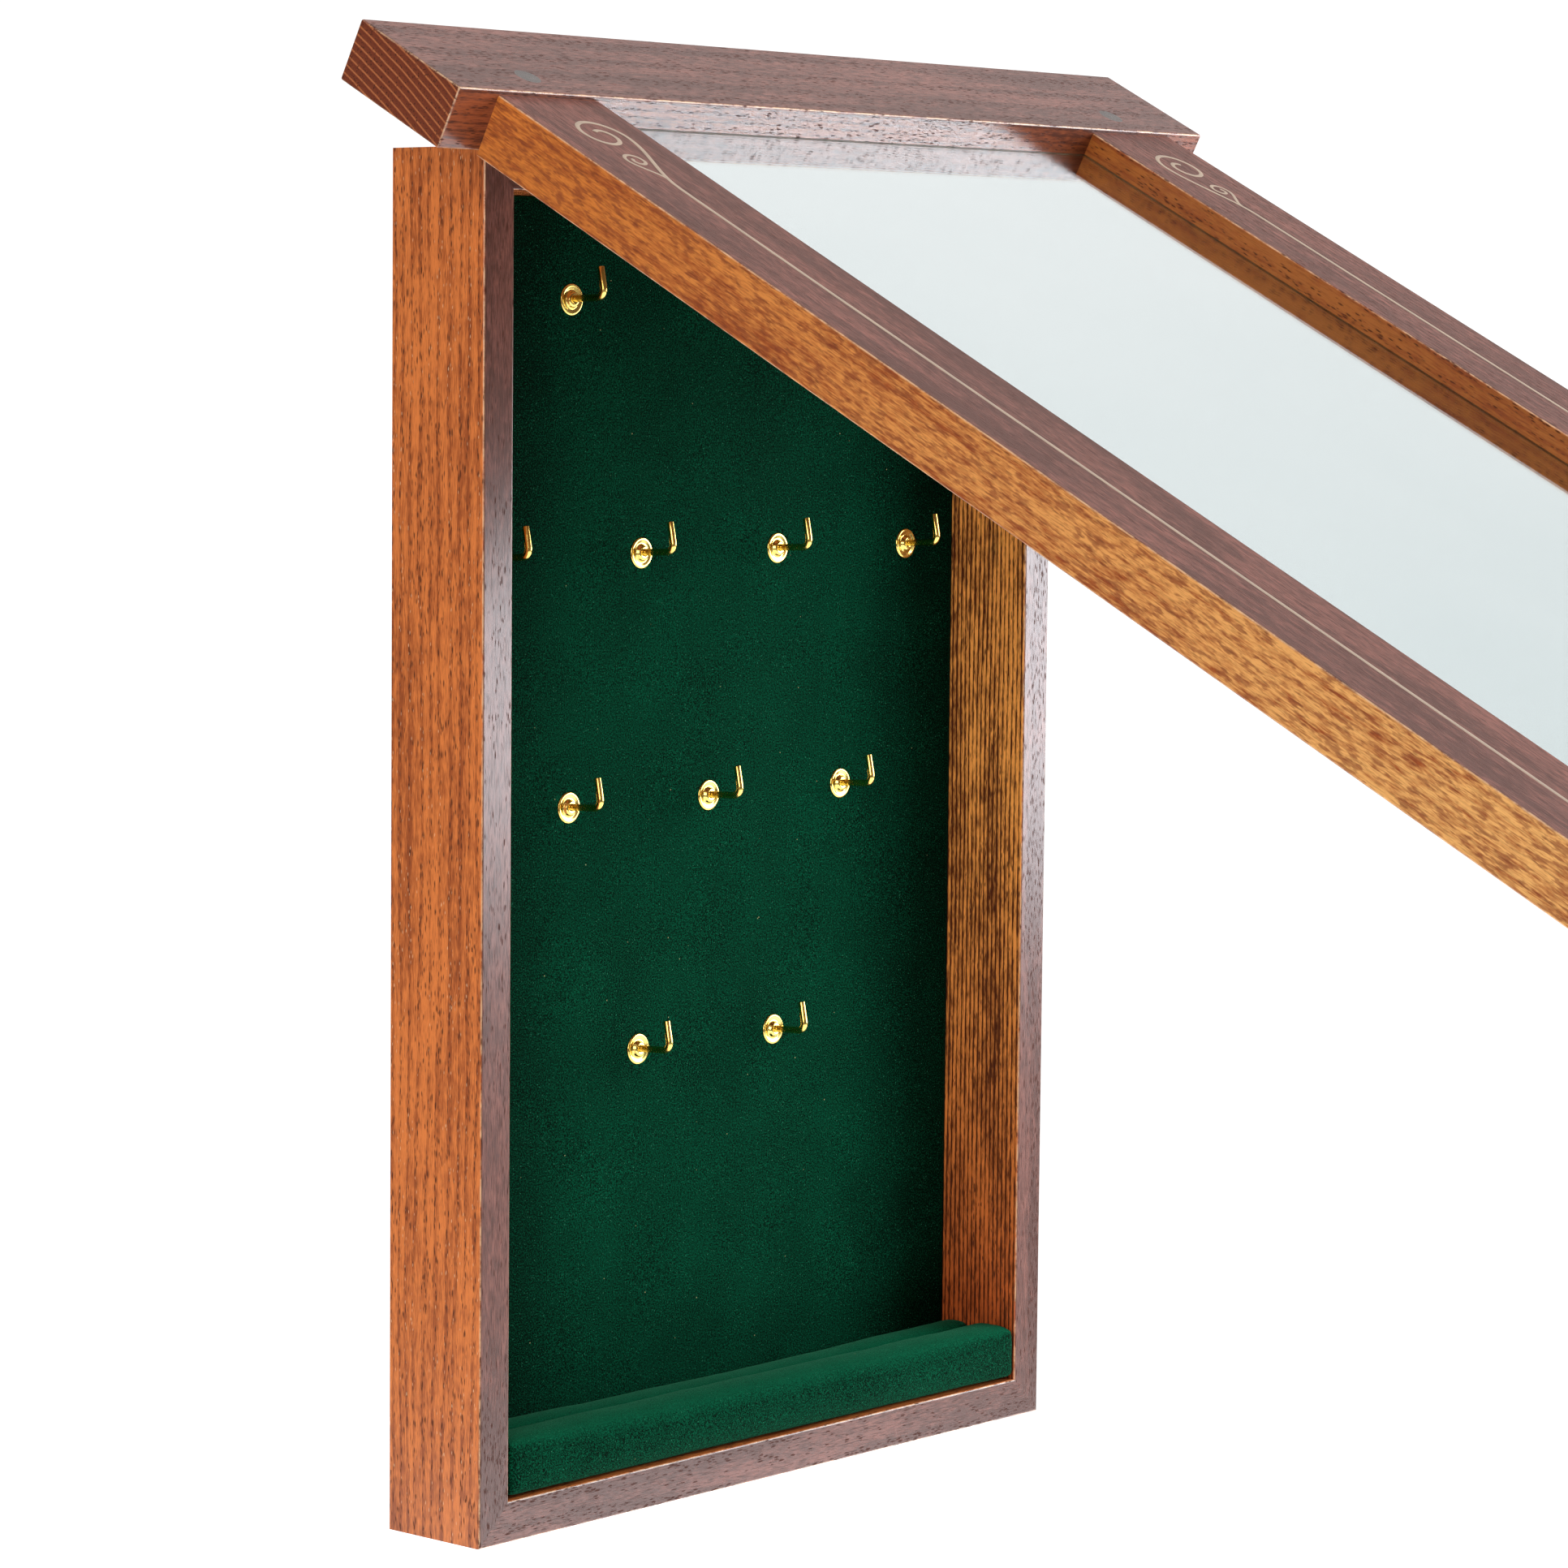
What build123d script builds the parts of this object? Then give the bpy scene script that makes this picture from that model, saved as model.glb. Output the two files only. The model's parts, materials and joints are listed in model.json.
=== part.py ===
"""Shallow oak wall cabinet with a lift-up framed mirror door and a velvet lining.

Millimetres. +Z is up, +X is right and the cabinet faces -Y. The origin is the
centre of the back, on the wall plane. The door is built shut and then turned
about its hinge pins to its resting angle.
"""
from build123d import *
import os

# ---------------------------------------------------------------- cabinet
CAB_W = 310.0            # outside width
CAB_H = 480.0            # outside height
CAB_D = 44.0             # outside depth, wall to front edge
BOARD_T = 14.5           # side, top and bottom boards
BACK_T = 5.0             # plywood back, let in flush
REBATE_W = 7.0           # rebate in the boards that holds the back
LINING_T = 2.5           # velvet covered board
LINING_GAP = 0.3         # round the lining and the rolls
ARRIS_R = 0.8            # eased long edges

# ---------------------------------------------------------------- display roll
ROLL_TOP_Z = -203.9      # top of the padded roll
ROLL_FRONT_Y = -44.9     # face of the front roll
ROLL_SPLIT_Y = -24.0     # slot between the rolls
ROLL_BACK_DROP = 1.0     # the back roll is lower by this
ROLL_R = 4.0             # rounding of the top edges

# ---------------------------------------------------------------- hooks
HOOK_PITCH_X = 74.5
HOOK_ROWS = ((189.5, 3), (99.0, 4), (9.0, 3), (-81.5, 2))   # height, hooks in the row
WIRE_R = 1.3
WIRE_CLEAR = 0.05
HOOK_REACH_Y = -24.4     # where the wire turns up
HOOK_RISE = 1.2          # the shank climbs this much on its way out
HOOK_TIP = (-22.4, 11.4)  # the tip's place: depth, height over the collar
HOOK_BEND_R = 3.0
HOOK_ROOT_Y = -1.2       # end of the screwed shank, inside the back
COLLAR_R = 5.7
COLLAR_RIM = 0.9         # thickness at the rim
COLLAR_BOSS_R = 2.9
COLLAR_BOSS = 2.2        # height of the boss

# ---------------------------------------------------------------- door
OPEN_DEG = 62.6          # resting angle
DOOR_GAP = 1.5           # shut: between the cabinet front and the stiles
STILE_W = 48.0
STILE_T = 22.0
DOOR_W = 366.0           # over the stiles
RAIL_L = 404.0           # the top rail overhangs the stiles
RAIL_W = 51.5
RAIL_T = 22.0
RAIL_PROUD = 2.0         # the top rail stands this far in front of the stiles
SIGHT_H = 436.0          # clear height of the mirror
LIP = 8.7                # wood in front of the mirror, on the stiles
REBATE_GLASS = 9.0       # width of the mirror rebate
GLASS_T = 2.0
BACKING_T = 3.0
GLASS_GAP = 1.0          # glass to rebate, each side
BEAD_W = 8.0
BEAD_T = 8.0
TENON_L = 30.0
TENON_W = 36.0
TENON_T = 8.0
MORTISE_GAP = 0.1
PEG_R = 4.75
PEG_L = 18.0
PEG_UP = 12.5            # pegs over the top rail's lower edge
BRAD_R = 0.7
BRAD_L = 10.0
PAD_R = 5.0
PAD_T = 1.3

# ---------------------------------------------------------------- hinges
HINGE_X = 105.0
HINGE_L = 60.0
KNUCKLES = 5
KNUCKLE_R = 4.8
KNUCKLE_GAP = 0.15       # between neighbouring knuckles, each side
LEAF_T = 2.0
LEAF_W = 19.0
PIN_R = 1.8
PIN_CLEAR = 0.06
HINGE_DROP = 26.8        # from the hinge axis down to the sight edge
SCREW_R = 1.5
SCREW_HEAD_R = 2.9
SCREW_L = 11.0
SCREW_CLEAR = 0.05
LEAF_SCREW_OUT = 12.5    # screw line, from the hinge axis

# ---------------------------------------------------------------- hangers
HANGER_X = 110.0
HANGER_Z = 205.0
HANGER_W = 16.0
HANGER_H = 40.0
HANGER_T = 1.5
KEY_HOLE_R = 4.5
KEY_SLOT_R = 2.2
KEY_HOLE_DROP = 5.0      # entry hole below the plate's centre
KEY_SLOT_RISE = 6.0      # seat above the plate's centre
HANGER_SCREW_R = 1.2
HANGER_SCREW_HEAD_R = 2.4
HANGER_SCREW_L = 4.0
HANGER_SCREW_DZ = 16.0

# ---------------------------------------------------------------- worked out
INNER_X = CAB_W / 2 - BOARD_T
INNER_Z = CAB_H / 2 - BOARD_T
AXIS_Y = -CAB_D - DOOR_GAP - RAIL_PROUD + KNUCKLE_R
AXIS_Z = CAB_H / 2 + KNUCKLE_R
LEAF_SCREW_Y = AXIS_Y + LEAF_SCREW_OUT
STILE_BACK_Y = -CAB_D - DOOR_GAP
STILE_FRONT_Y = STILE_BACK_Y - STILE_T
RAIL_BACK_Y = STILE_BACK_Y - RAIL_PROUD
RAIL_FRONT_Y = RAIL_BACK_Y - RAIL_T
SIGHT_TOP = AXIS_Z - HINGE_DROP
SIGHT_BOTTOM = SIGHT_TOP - SIGHT_H
SIGHT_X = DOOR_W / 2 - STILE_W
STILE_X = DOOR_W / 2 - STILE_W / 2
GLASS_FRONT_Y = STILE_FRONT_Y + LIP
GLASS_BACK_Y = GLASS_FRONT_Y + GLASS_T
BACKING_BACK_Y = GLASS_BACK_Y + BACKING_T
TENON_Y = (STILE_FRONT_Y + GLASS_FRONT_Y) / 2 - 0.2
DOOR_FOOT = SIGHT_BOTTOM - RAIL_W
KNUCKLE_L = HINGE_L / KNUCKLES
SIDES = (("left", -1), ("right", 1))

os.makedirs("parts", exist_ok=True)


def save(name, shape):
    """Write one node."""
    export_step(shape, f"parts/{name}.step")


def block(x, y, z):
    """A box from its low and high limits on each axis."""
    size = [high - low for low, high in (x, y, z)]
    middle = [(high + low) / 2 for low, high in (x, y, z)]
    return Pos(*middle) * Box(*size)


def rod(centre, radius, length, direction):
    """A round bar that starts at centre and runs along direction."""
    plane = Plane(origin=centre, z_dir=direction)
    return extrude(plane * Circle(radius), length)


def eased(shape, axis, radius=ARRIS_R):
    """Round the long edges that run along the axis."""
    longest = max(edge.length for edge in shape.edges().filter_by(axis))
    edges = [e for e in shape.edges().filter_by(axis) if e.length > 0.9 * longest]
    return fillet(edges, radius)


def opened(shape):
    """Turn a door piece from shut to its resting angle."""
    return shape.rotate(Axis((0, AXIS_Y, AXIS_Z), (1, 0, 0)), -OPEN_DEG)


def countersunk(centre, radius, head_r, length, direction):
    """A countersunk screw, its flat head at centre."""
    plane = Plane(origin=centre, z_dir=direction)
    head_h = head_r - radius
    outline = Polyline((0, 0), (head_r, 0), (radius, head_h), (radius, length - radius),
                       (0, length), (0, 0))
    profile = Plane.XZ * make_face(outline)
    return plane * revolve(profile, Axis.Z)


def hook_places():
    """Row number, number in the row, x and z of every hook."""
    places = []
    for row, (height, count) in enumerate(HOOK_ROWS, 1):
        for number in range(count):
            x = (number - (count - 1) / 2) * HOOK_PITCH_X
            places.append((row, number + 1, x, height))
    return places


# ================================================================ cabinet
def cabinet_boards():
    """Four mitred boards with one rebate round the back."""
    w, h, t = CAB_W / 2, CAB_H / 2, BOARD_T
    outlines = {
        "side_panel_left": ((-w, -h), (-w + t, -h + t), (-w + t, h - t), (-w, h)),
        "side_panel_right": ((w, -h), (w - t, -h + t), (w - t, h - t), (w, h)),
        "top_panel": ((-w, h), (-w + t, h - t), (w - t, h - t), (w, h)),
        "bottom_panel": ((-w, -h), (-w + t, -h + t), (w - t, -h + t), (w, -h)),
    }
    rebate_x, rebate_z = w - t + REBATE_W, h - t + REBATE_W
    rebate = block((-rebate_x, rebate_x), (-BACK_T, 0), (-rebate_z, rebate_z))
    boards = {}
    for name, points in outlines.items():
        face = make_face(Polyline(*points, close=True))
        board = extrude(Plane.XZ * face, CAB_D)
        upright = name.startswith("side")
        front_edges = [e for e in board.edges().filter_by(Axis.Z if upright else Axis.X)
                       if e.center().Y < -CAB_D / 2]
        boards[name] = fillet(front_edges, ARRIS_R) - rebate
    for _, side in SIDES:
        for x in hinge_screw_places(side):
            boards["top_panel"] -= rod((x, LEAF_SCREW_Y, CAB_H / 2 + 1), SCREW_R + SCREW_CLEAR,
                                       SCREW_L + 1, (0, 0, -1))
    return boards


def back_panel():
    """Plywood back with pockets for the wall screws and holes for the hooks."""
    half_x = INNER_X + REBATE_W - 0.1
    half_z = INNER_Z + REBATE_W - 0.1
    panel = block((-half_x, half_x), (-BACK_T, 0), (-half_z, half_z))
    for _, side in SIDES:
        x = side * HANGER_X
        panel -= block((x - HANGER_W / 2 - 0.1, x + HANGER_W / 2 + 0.1), (-HANGER_T, 0),
                       (HANGER_Z - HANGER_H / 2 - 0.1, HANGER_Z + HANGER_H / 2 + 0.1))
        pocket_r = KEY_HOLE_R + 1
        panel -= block((x - pocket_r, x + pocket_r), (-BACK_T, 0),
                       (HANGER_Z - KEY_HOLE_DROP - pocket_r, HANGER_Z + KEY_SLOT_RISE + pocket_r))
        for z in (HANGER_Z - HANGER_SCREW_DZ, HANGER_Z + HANGER_SCREW_DZ):
            panel -= rod((x, 0, z), HANGER_SCREW_R + SCREW_CLEAR, HANGER_SCREW_L, (0, -1, 0))
    for _, _, x, z in hook_places():
        panel -= rod((x, -BACK_T - 1, z), WIRE_R + WIRE_CLEAR, BACK_T + 2, (0, 1, 0))
    return panel


def velvet_board():
    """Thin board that carries the velvet, with the hook holes."""
    half_x, half_z = INNER_X - LINING_GAP, INNER_Z - LINING_GAP
    panel = block((-half_x, half_x), (-BACK_T - LINING_T, -BACK_T), (-half_z, half_z))
    for _, _, x, z in hook_places():
        panel -= rod((x, -BACK_T + 1, z), WIRE_R + WIRE_CLEAR + 0.1, LINING_T + 2, (0, -1, 0))
    return panel


def rolls():
    """Two padded bars on the floor of the cabinet with a slot between them."""
    half_x = INNER_X - LINING_GAP
    floor_z = -INNER_Z + LINING_GAP
    back_y = -BACK_T - LINING_T - LINING_GAP
    spans = {
        "ring_roll_front": ((ROLL_FRONT_Y, ROLL_SPLIT_Y - 0.1), ROLL_TOP_Z),
        "ring_roll_back": ((ROLL_SPLIT_Y + 0.1, back_y), ROLL_TOP_Z - ROLL_BACK_DROP),
    }
    made = {}
    for name, (y, top) in spans.items():
        bar = block((-half_x, half_x), y, (floor_z, top))
        top_edges = [e for e in bar.edges().filter_by(Axis.X) if e.center().Z > top - 1]
        made[name] = fillet(top_edges, ROLL_R)
    return made


def hook(x, z):
    """Right-angle hook: one bent wire."""
    root = (x, HOOK_ROOT_Y, z)
    wall = (x, -BACK_T - LINING_T - COLLAR_BOSS, z)
    turn = (x, HOOK_REACH_Y, z + HOOK_RISE)
    tip = (x, HOOK_TIP[0], z + HOOK_TIP[1])
    path = FilletPolyline(root, wall, turn, tip, radius=HOOK_BEND_R)
    return sweep(Plane(origin=root, z_dir=(0, -1, 0)) * Circle(WIRE_R), path)


def collar(x, z):
    """Stamped collar: a dished rim round a small boss."""
    face_y = -BACK_T - LINING_T
    inner = WIRE_R + WIRE_CLEAR
    points = ((inner, 0), (COLLAR_R, 0), (COLLAR_R, COLLAR_RIM), (COLLAR_R - 1.1, COLLAR_RIM + 0.4),
              (COLLAR_BOSS_R + 0.5, COLLAR_RIM - 0.2), (COLLAR_BOSS_R, COLLAR_BOSS - 0.4),
              (COLLAR_BOSS_R - 0.6, COLLAR_BOSS), (inner, COLLAR_BOSS))
    profile = Plane.XZ * make_face(Polyline(*points, close=True))
    return Plane(origin=(x, face_y, z), z_dir=(0, -1, 0)) * revolve(profile, Axis.Z)


def hanger(x):
    """Keyhole plate, let in flush with the back."""
    plate = block((x - HANGER_W / 2, x + HANGER_W / 2), (-HANGER_T, 0),
                  (HANGER_Z - HANGER_H / 2, HANGER_Z + HANGER_H / 2))
    hole_z = HANGER_Z - KEY_HOLE_DROP
    seat_z = HANGER_Z + KEY_SLOT_RISE
    plate -= rod((x, 1, hole_z), KEY_HOLE_R, HANGER_T + 2, (0, -1, 0))
    plate -= rod((x, 1, seat_z), KEY_SLOT_R, HANGER_T + 2, (0, -1, 0))
    plate -= block((x - KEY_SLOT_R, x + KEY_SLOT_R), (-HANGER_T - 1, 1), (hole_z, seat_z))
    for screw in hanger_screws(x):
        plate -= screw
    return plate


def hanger_screws(x):
    """Two small countersunk screws for one keyhole plate."""
    heights = (HANGER_Z - HANGER_SCREW_DZ, HANGER_Z + HANGER_SCREW_DZ)
    return [countersunk((x, 0, z), HANGER_SCREW_R, HANGER_SCREW_HEAD_R, HANGER_SCREW_L, (0, -1, 0))
            for z in heights]


# ================================================================ hinges
def hinge_screw_places(side):
    """x of the three screws in one leaf."""
    return [side * HINGE_X + step * HINGE_L / 3 for step in (-1, 0, 1)]


def knuckle_span(number, centre_x):
    """Low and high x of one knuckle."""
    low = centre_x - HINGE_L / 2 + number * KNUCKLE_L
    return low + KNUCKLE_GAP, low + KNUCKLE_L - KNUCKLE_GAP


def hinge_leaf(centre_x, own, plate, room, screws):
    """One leaf: a flat plate, its own knuckles, and room for the other leaf's."""
    slack = KNUCKLE_GAP * 2
    leaf = plate
    bore = PIN_R + (0 if 0 in own else PIN_CLEAR)
    for number in range(KNUCKLES):
        low, high = knuckle_span(number, centre_x)
        if number in own:
            leaf += rod((low, AXIS_Y, AXIS_Z), KNUCKLE_R, high - low, (1, 0, 0))
        else:
            leaf -= block((low - slack, high + slack), *room)
    leaf -= rod((centre_x - HINGE_L, AXIS_Y, AXIS_Z), bore, 2 * HINGE_L, (1, 0, 0))
    for screw in screws:
        leaf -= screw
    return leaf


def hinge(side):
    """The cabinet leaf, the shut door leaf, the pin and the two sets of screws."""
    x = side * HINGE_X
    half = HINGE_L / 2
    reach = KNUCKLE_R + 0.4
    cabinet_plate = block((x - half, x + half), (AXIS_Y, AXIS_Y + LEAF_W),
                          (CAB_H / 2, CAB_H / 2 + LEAF_T))
    door_plate = block((x - half, x + half), (RAIL_BACK_Y, RAIL_BACK_Y + LEAF_T),
                       (AXIS_Z, AXIS_Z + LEAF_W))
    cabinet_screws = [countersunk((sx, LEAF_SCREW_Y, CAB_H / 2 + LEAF_T), SCREW_R, SCREW_HEAD_R,
                                  SCREW_L + LEAF_T, (0, 0, -1)) for sx in hinge_screw_places(side)]
    door_screws = [countersunk((sx, RAIL_BACK_Y + LEAF_T, AXIS_Z + LEAF_SCREW_OUT), SCREW_R,
                               SCREW_HEAD_R, SCREW_L + LEAF_T, (0, -1, 0))
                   for sx in hinge_screw_places(side)]
    cabinet_room = ((AXIS_Y - reach, AXIS_Y + reach), (CAB_H / 2, AXIS_Z + reach))
    door_room = ((RAIL_BACK_Y, AXIS_Y + reach), (AXIS_Z - reach, AXIS_Z + reach))
    outer, inner = (0, 2, 4), (1, 3)
    cabinet_leaf = hinge_leaf(x, outer, cabinet_plate, cabinet_room, cabinet_screws)
    door_leaf = hinge_leaf(x, inner, door_plate, door_room, door_screws)
    pin = rod((x - half, AXIS_Y, AXIS_Z), PIN_R, HINGE_L, (1, 0, 0))
    return cabinet_leaf, door_leaf, pin, cabinet_screws, door_screws


# ================================================================ door
def mirror_rebate():
    """The space cut out of the frame for the mirror, its backing and the beads."""
    half_x = SIGHT_X + REBATE_GLASS
    return block((-half_x, half_x), (GLASS_FRONT_Y, STILE_BACK_Y + 1),
                 (SIGHT_BOTTOM - REBATE_GLASS, SIGHT_TOP + REBATE_GLASS))


def tenon(x, z, gap=0.0):
    """A tenon's block between two x limits and two z limits."""
    half = TENON_T / 2 + gap
    return block((x[0] - gap, x[1] + gap), (TENON_Y - half, TENON_Y + half), (z[0] - gap, z[1] + gap))


def top_tenon(side, gap=0.0):
    """The tenon of a stile in the top rail."""
    x = side * STILE_X
    return tenon((x - TENON_W / 2, x + TENON_W / 2), (SIGHT_TOP, SIGHT_TOP + TENON_L), gap)


def foot_tenon(side, gap=0.0):
    """The tenon of the bottom rail in a stile."""
    x = sorted((side * SIGHT_X, side * (SIGHT_X + TENON_L)))
    middle = SIGHT_BOTTOM - RAIL_W / 2
    return tenon(x, (middle - TENON_W / 2, middle + TENON_W / 2), gap)


def pegs():
    """One peg through each of the four corner joints."""
    made = []
    for _, side in SIDES:
        made.append(rod((side * STILE_X, RAIL_FRONT_Y, SIGHT_TOP + PEG_UP), PEG_R, PEG_L, (0, 1, 0)))
        made.append(rod((side * (SIGHT_X + TENON_L / 2), STILE_FRONT_Y, SIGHT_BOTTOM - RAIL_W / 2),
                        PEG_R, PEG_L, (0, 1, 0)))
    return made


def top_rail(door_screws):
    """The long rail that caps the stiles."""
    rail = block((-RAIL_L / 2, RAIL_L / 2), (RAIL_FRONT_Y, RAIL_BACK_Y), (SIGHT_TOP, SIGHT_TOP + RAIL_W))
    rail = fillet(rail.edges(), ARRIS_R)
    rail -= mirror_rebate()
    for _, side in SIDES:
        rail -= top_tenon(side, MORTISE_GAP)
    for cut in pegs() + door_screws:
        rail -= cut
    return rail


def stile(side):
    """An upright of the frame with its tenon."""
    x = sorted((side * SIGHT_X, side * DOOR_W / 2))
    board = block(x, (STILE_FRONT_Y, STILE_BACK_Y), (DOOR_FOOT, SIGHT_TOP))
    board = eased(board, Axis.Z)
    board += top_tenon(side)
    board -= mirror_rebate()
    board -= foot_tenon(side, MORTISE_GAP)
    for cut in pegs():
        board -= cut
    return board


def bottom_rail():
    """The lower rail, tenoned between the stiles."""
    rail = block((-SIGHT_X, SIGHT_X), (STILE_FRONT_Y, STILE_BACK_Y), (DOOR_FOOT, SIGHT_BOTTOM))
    rail = eased(rail, Axis.X)
    for _, side in SIDES:
        rail += foot_tenon(side)
    rail -= mirror_rebate()
    for cut in pegs():
        rail -= cut
    return rail


def pane(front_y, thickness):
    """A flat sheet that fills the rebate."""
    half_x = SIGHT_X + REBATE_GLASS - GLASS_GAP
    edge = REBATE_GLASS - GLASS_GAP
    return block((-half_x, half_x), (front_y, front_y + thickness),
                 (SIGHT_BOTTOM - edge, SIGHT_TOP + edge))


def beads():
    """Four strips that hold the backing in, and the brads that hold the strips."""
    outer_x = SIGHT_X + REBATE_GLASS - 0.1
    high, low = SIGHT_TOP + REBATE_GLASS - 0.1, SIGHT_BOTTOM - REBATE_GLASS + 0.1
    y = (BACKING_BACK_Y, BACKING_BACK_Y + BEAD_T)
    strips = {
        "bead_top": block((-outer_x, outer_x), y, (high - BEAD_W, high)),
        "bead_bottom": block((-outer_x, outer_x), y, (low, low + BEAD_W)),
        "bead_left": block((-outer_x, -outer_x + BEAD_W), y, (low + BEAD_W, high - BEAD_W)),
        "bead_right": block((outer_x - BEAD_W, outer_x), y, (low + BEAD_W, high - BEAD_W)),
    }
    brads = []
    middle_y = BACKING_BACK_Y + BEAD_T / 2
    for step in (-1, 0, 1):
        for _, side in SIDES:
            brads.append(rod((side * (outer_x - BEAD_W + 0.5), middle_y, step * SIGHT_H / 3), BRAD_R,
                             BRAD_L, (side, 0, 0)))
        brads.append(rod((step * SIGHT_X * 0.66, middle_y, high - BEAD_W + 0.5), BRAD_R, BRAD_L, (0, 0, 1)))
        brads.append(rod((step * SIGHT_X * 0.66, middle_y, low + BEAD_W - 0.5), BRAD_R, BRAD_L, (0, 0, -1)))
    return strips, brads


def door_pads():
    """Felt discs that meet the cabinet's lower corners when the door shuts."""
    x = CAB_W / 2 - BOARD_T / 2
    z = -CAB_H / 2 + BOARD_T / 2
    return [rod((side * x, STILE_BACK_Y, z), PAD_R, PAD_T, (0, 1, 0)) for _, side in SIDES]


# ================================================================ write every node
for name, board in cabinet_boards().items():
    save(name, board)
save("back_panel", back_panel())
save("velvet_board", velvet_board())
for name, roll in rolls().items():
    save(name, roll)

for row, number, x, z in hook_places():
    save(f"hook_{row}_{number}", hook(x, z))
for row in range(1, len(HOOK_ROWS) + 1):
    save(f"hook_collars_{row}", Compound([collar(x, z) for r, _, x, z in hook_places() if r == row]))

screws = []
for name, side in SIDES:
    save(f"hanger_plate_{name}", hanger(side * HANGER_X))
    screws += hanger_screws(side * HANGER_X)
save("hanger_screws", Compound(screws))

cabinet_screws, door_screws = [], []
for name, side in SIDES:
    cabinet_leaf, door_leaf, pin, on_cabinet, on_door = hinge(side)
    save(f"hinge_leaf_cabinet_{name}", cabinet_leaf)
    save(f"hinge_leaf_door_{name}", opened(door_leaf))
    save(f"hinge_pin_{name}", pin)
    cabinet_screws += on_cabinet
    door_screws += on_door
save("hinge_screws_cabinet", Compound(cabinet_screws))
save("hinge_screws_door", opened(Compound(door_screws)))

strips, brads = beads()
save("door_top_rail", opened(top_rail(door_screws) - Compound(brads)))
save("door_bottom_rail", opened(bottom_rail() - Compound(brads)))
for name, side in SIDES:
    save(f"door_stile_{name}", opened(stile(side) - Compound(brads)))
save("corner_pegs", opened(Compound(pegs())))
save("mirror_glass", opened(pane(GLASS_FRONT_Y, GLASS_T)))
save("mirror_backing", opened(pane(GLASS_BACK_Y, BACKING_T)))
for name, strip in strips.items():
    save(name, opened(strip - Compound(brads)))
save("bead_brads", opened(Compound(brads)))
save("door_pads", opened(Compound(door_pads())))
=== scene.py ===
"""Finish of a shallow oak wall showcase: stained oak, a lift-up mirror door, velvet and brass hooks.

Metres. The cabinet hangs on the wall plane, faces -Y, and its door rests part open.
"""
import json
import math

import bpy
from mathutils import Matrix, Vector, noise

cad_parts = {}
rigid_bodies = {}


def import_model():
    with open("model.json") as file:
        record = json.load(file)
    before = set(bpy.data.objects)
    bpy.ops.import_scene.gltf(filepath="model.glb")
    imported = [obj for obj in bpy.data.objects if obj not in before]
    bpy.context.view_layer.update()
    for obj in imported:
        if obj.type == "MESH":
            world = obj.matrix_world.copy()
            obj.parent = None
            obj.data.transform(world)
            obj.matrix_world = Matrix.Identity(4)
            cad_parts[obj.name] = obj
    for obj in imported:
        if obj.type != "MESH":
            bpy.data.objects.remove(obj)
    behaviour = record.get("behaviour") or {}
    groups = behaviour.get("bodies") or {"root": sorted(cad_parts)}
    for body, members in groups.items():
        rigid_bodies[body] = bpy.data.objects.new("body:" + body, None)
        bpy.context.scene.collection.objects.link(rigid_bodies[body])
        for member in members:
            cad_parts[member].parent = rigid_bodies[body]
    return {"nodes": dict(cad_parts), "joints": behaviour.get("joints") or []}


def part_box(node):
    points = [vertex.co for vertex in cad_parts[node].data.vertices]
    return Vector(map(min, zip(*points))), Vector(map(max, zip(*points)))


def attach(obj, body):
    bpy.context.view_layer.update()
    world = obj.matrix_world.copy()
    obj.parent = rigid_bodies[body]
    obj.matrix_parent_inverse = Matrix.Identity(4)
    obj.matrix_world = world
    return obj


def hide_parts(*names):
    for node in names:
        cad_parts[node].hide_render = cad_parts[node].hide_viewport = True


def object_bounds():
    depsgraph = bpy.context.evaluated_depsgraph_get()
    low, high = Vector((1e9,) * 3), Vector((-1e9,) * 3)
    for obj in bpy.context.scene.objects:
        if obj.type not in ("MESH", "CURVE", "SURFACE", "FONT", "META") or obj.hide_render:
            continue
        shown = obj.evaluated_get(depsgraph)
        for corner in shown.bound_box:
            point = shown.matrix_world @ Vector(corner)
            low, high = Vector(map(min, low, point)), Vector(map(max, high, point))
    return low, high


bl_info = {
    "name": "Oak wall showcase",
    "version": (1, 0, 0),
    "blender": (4, 5, 0),
    "location": "View3D > Sidebar > Showcase",
    "description": "Finishes a velvet lined oak showcase with a lift-up mirror door",
    "category": "Object",
}

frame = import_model()
CAD_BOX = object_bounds()
NODES = frame["nodes"]
MM = 0.001

# ------------------------------------------------------------------ places taken from the frame
LIFT = frame["joints"][0]
HINGE_AT = Vector(LIFT["pos_m"])
OPEN_ANGLE = math.radians(-LIFT["range_deg"][0])
TO_SHUT = (Matrix.Translation(HINGE_AT) @ Matrix.Rotation(OPEN_ANGLE, 4, "X")
           @ Matrix.Translation(-HINGE_AT))
TO_REST = TO_SHUT.inverted()
FACING_BACK = Matrix.Rotation(-math.pi / 2, 4, "X")
SIDES = (("left", -1), ("right", 1))
HOOK_ROWS = (3, 4, 3, 2)
HOOKS = [f"hook_{row}_{n}" for row, count in enumerate(HOOK_ROWS, 1) for n in range(1, count + 1)]


def shut_box(node):
    """Lowest and highest corner of a door node, measured with the door shut."""
    points = [TO_SHUT @ v.co for v in NODES[node].data.vertices]
    low = Vector([min(p[i] for p in points) for i in range(3)])
    high = Vector([max(p[i] for p in points) for i in range(3)])
    return low, high


def linear(code):
    """Linear RGB of an sRGB hex colour."""
    parts = [int(code[i:i + 2], 16) / 255 for i in (1, 3, 5)]
    return tuple(c / 12.92 if c <= 0.04045 else ((c + 0.055) / 1.055) ** 2.4 for c in parts)


# ------------------------------------------------------------------ settings
def shade(name, description, code):
    """A colour property from an sRGB hex value."""
    return bpy.props.FloatVectorProperty(name=name, description=description, subtype="COLOR",
                                         size=3, min=0, max=1, default=linear(code))


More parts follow.
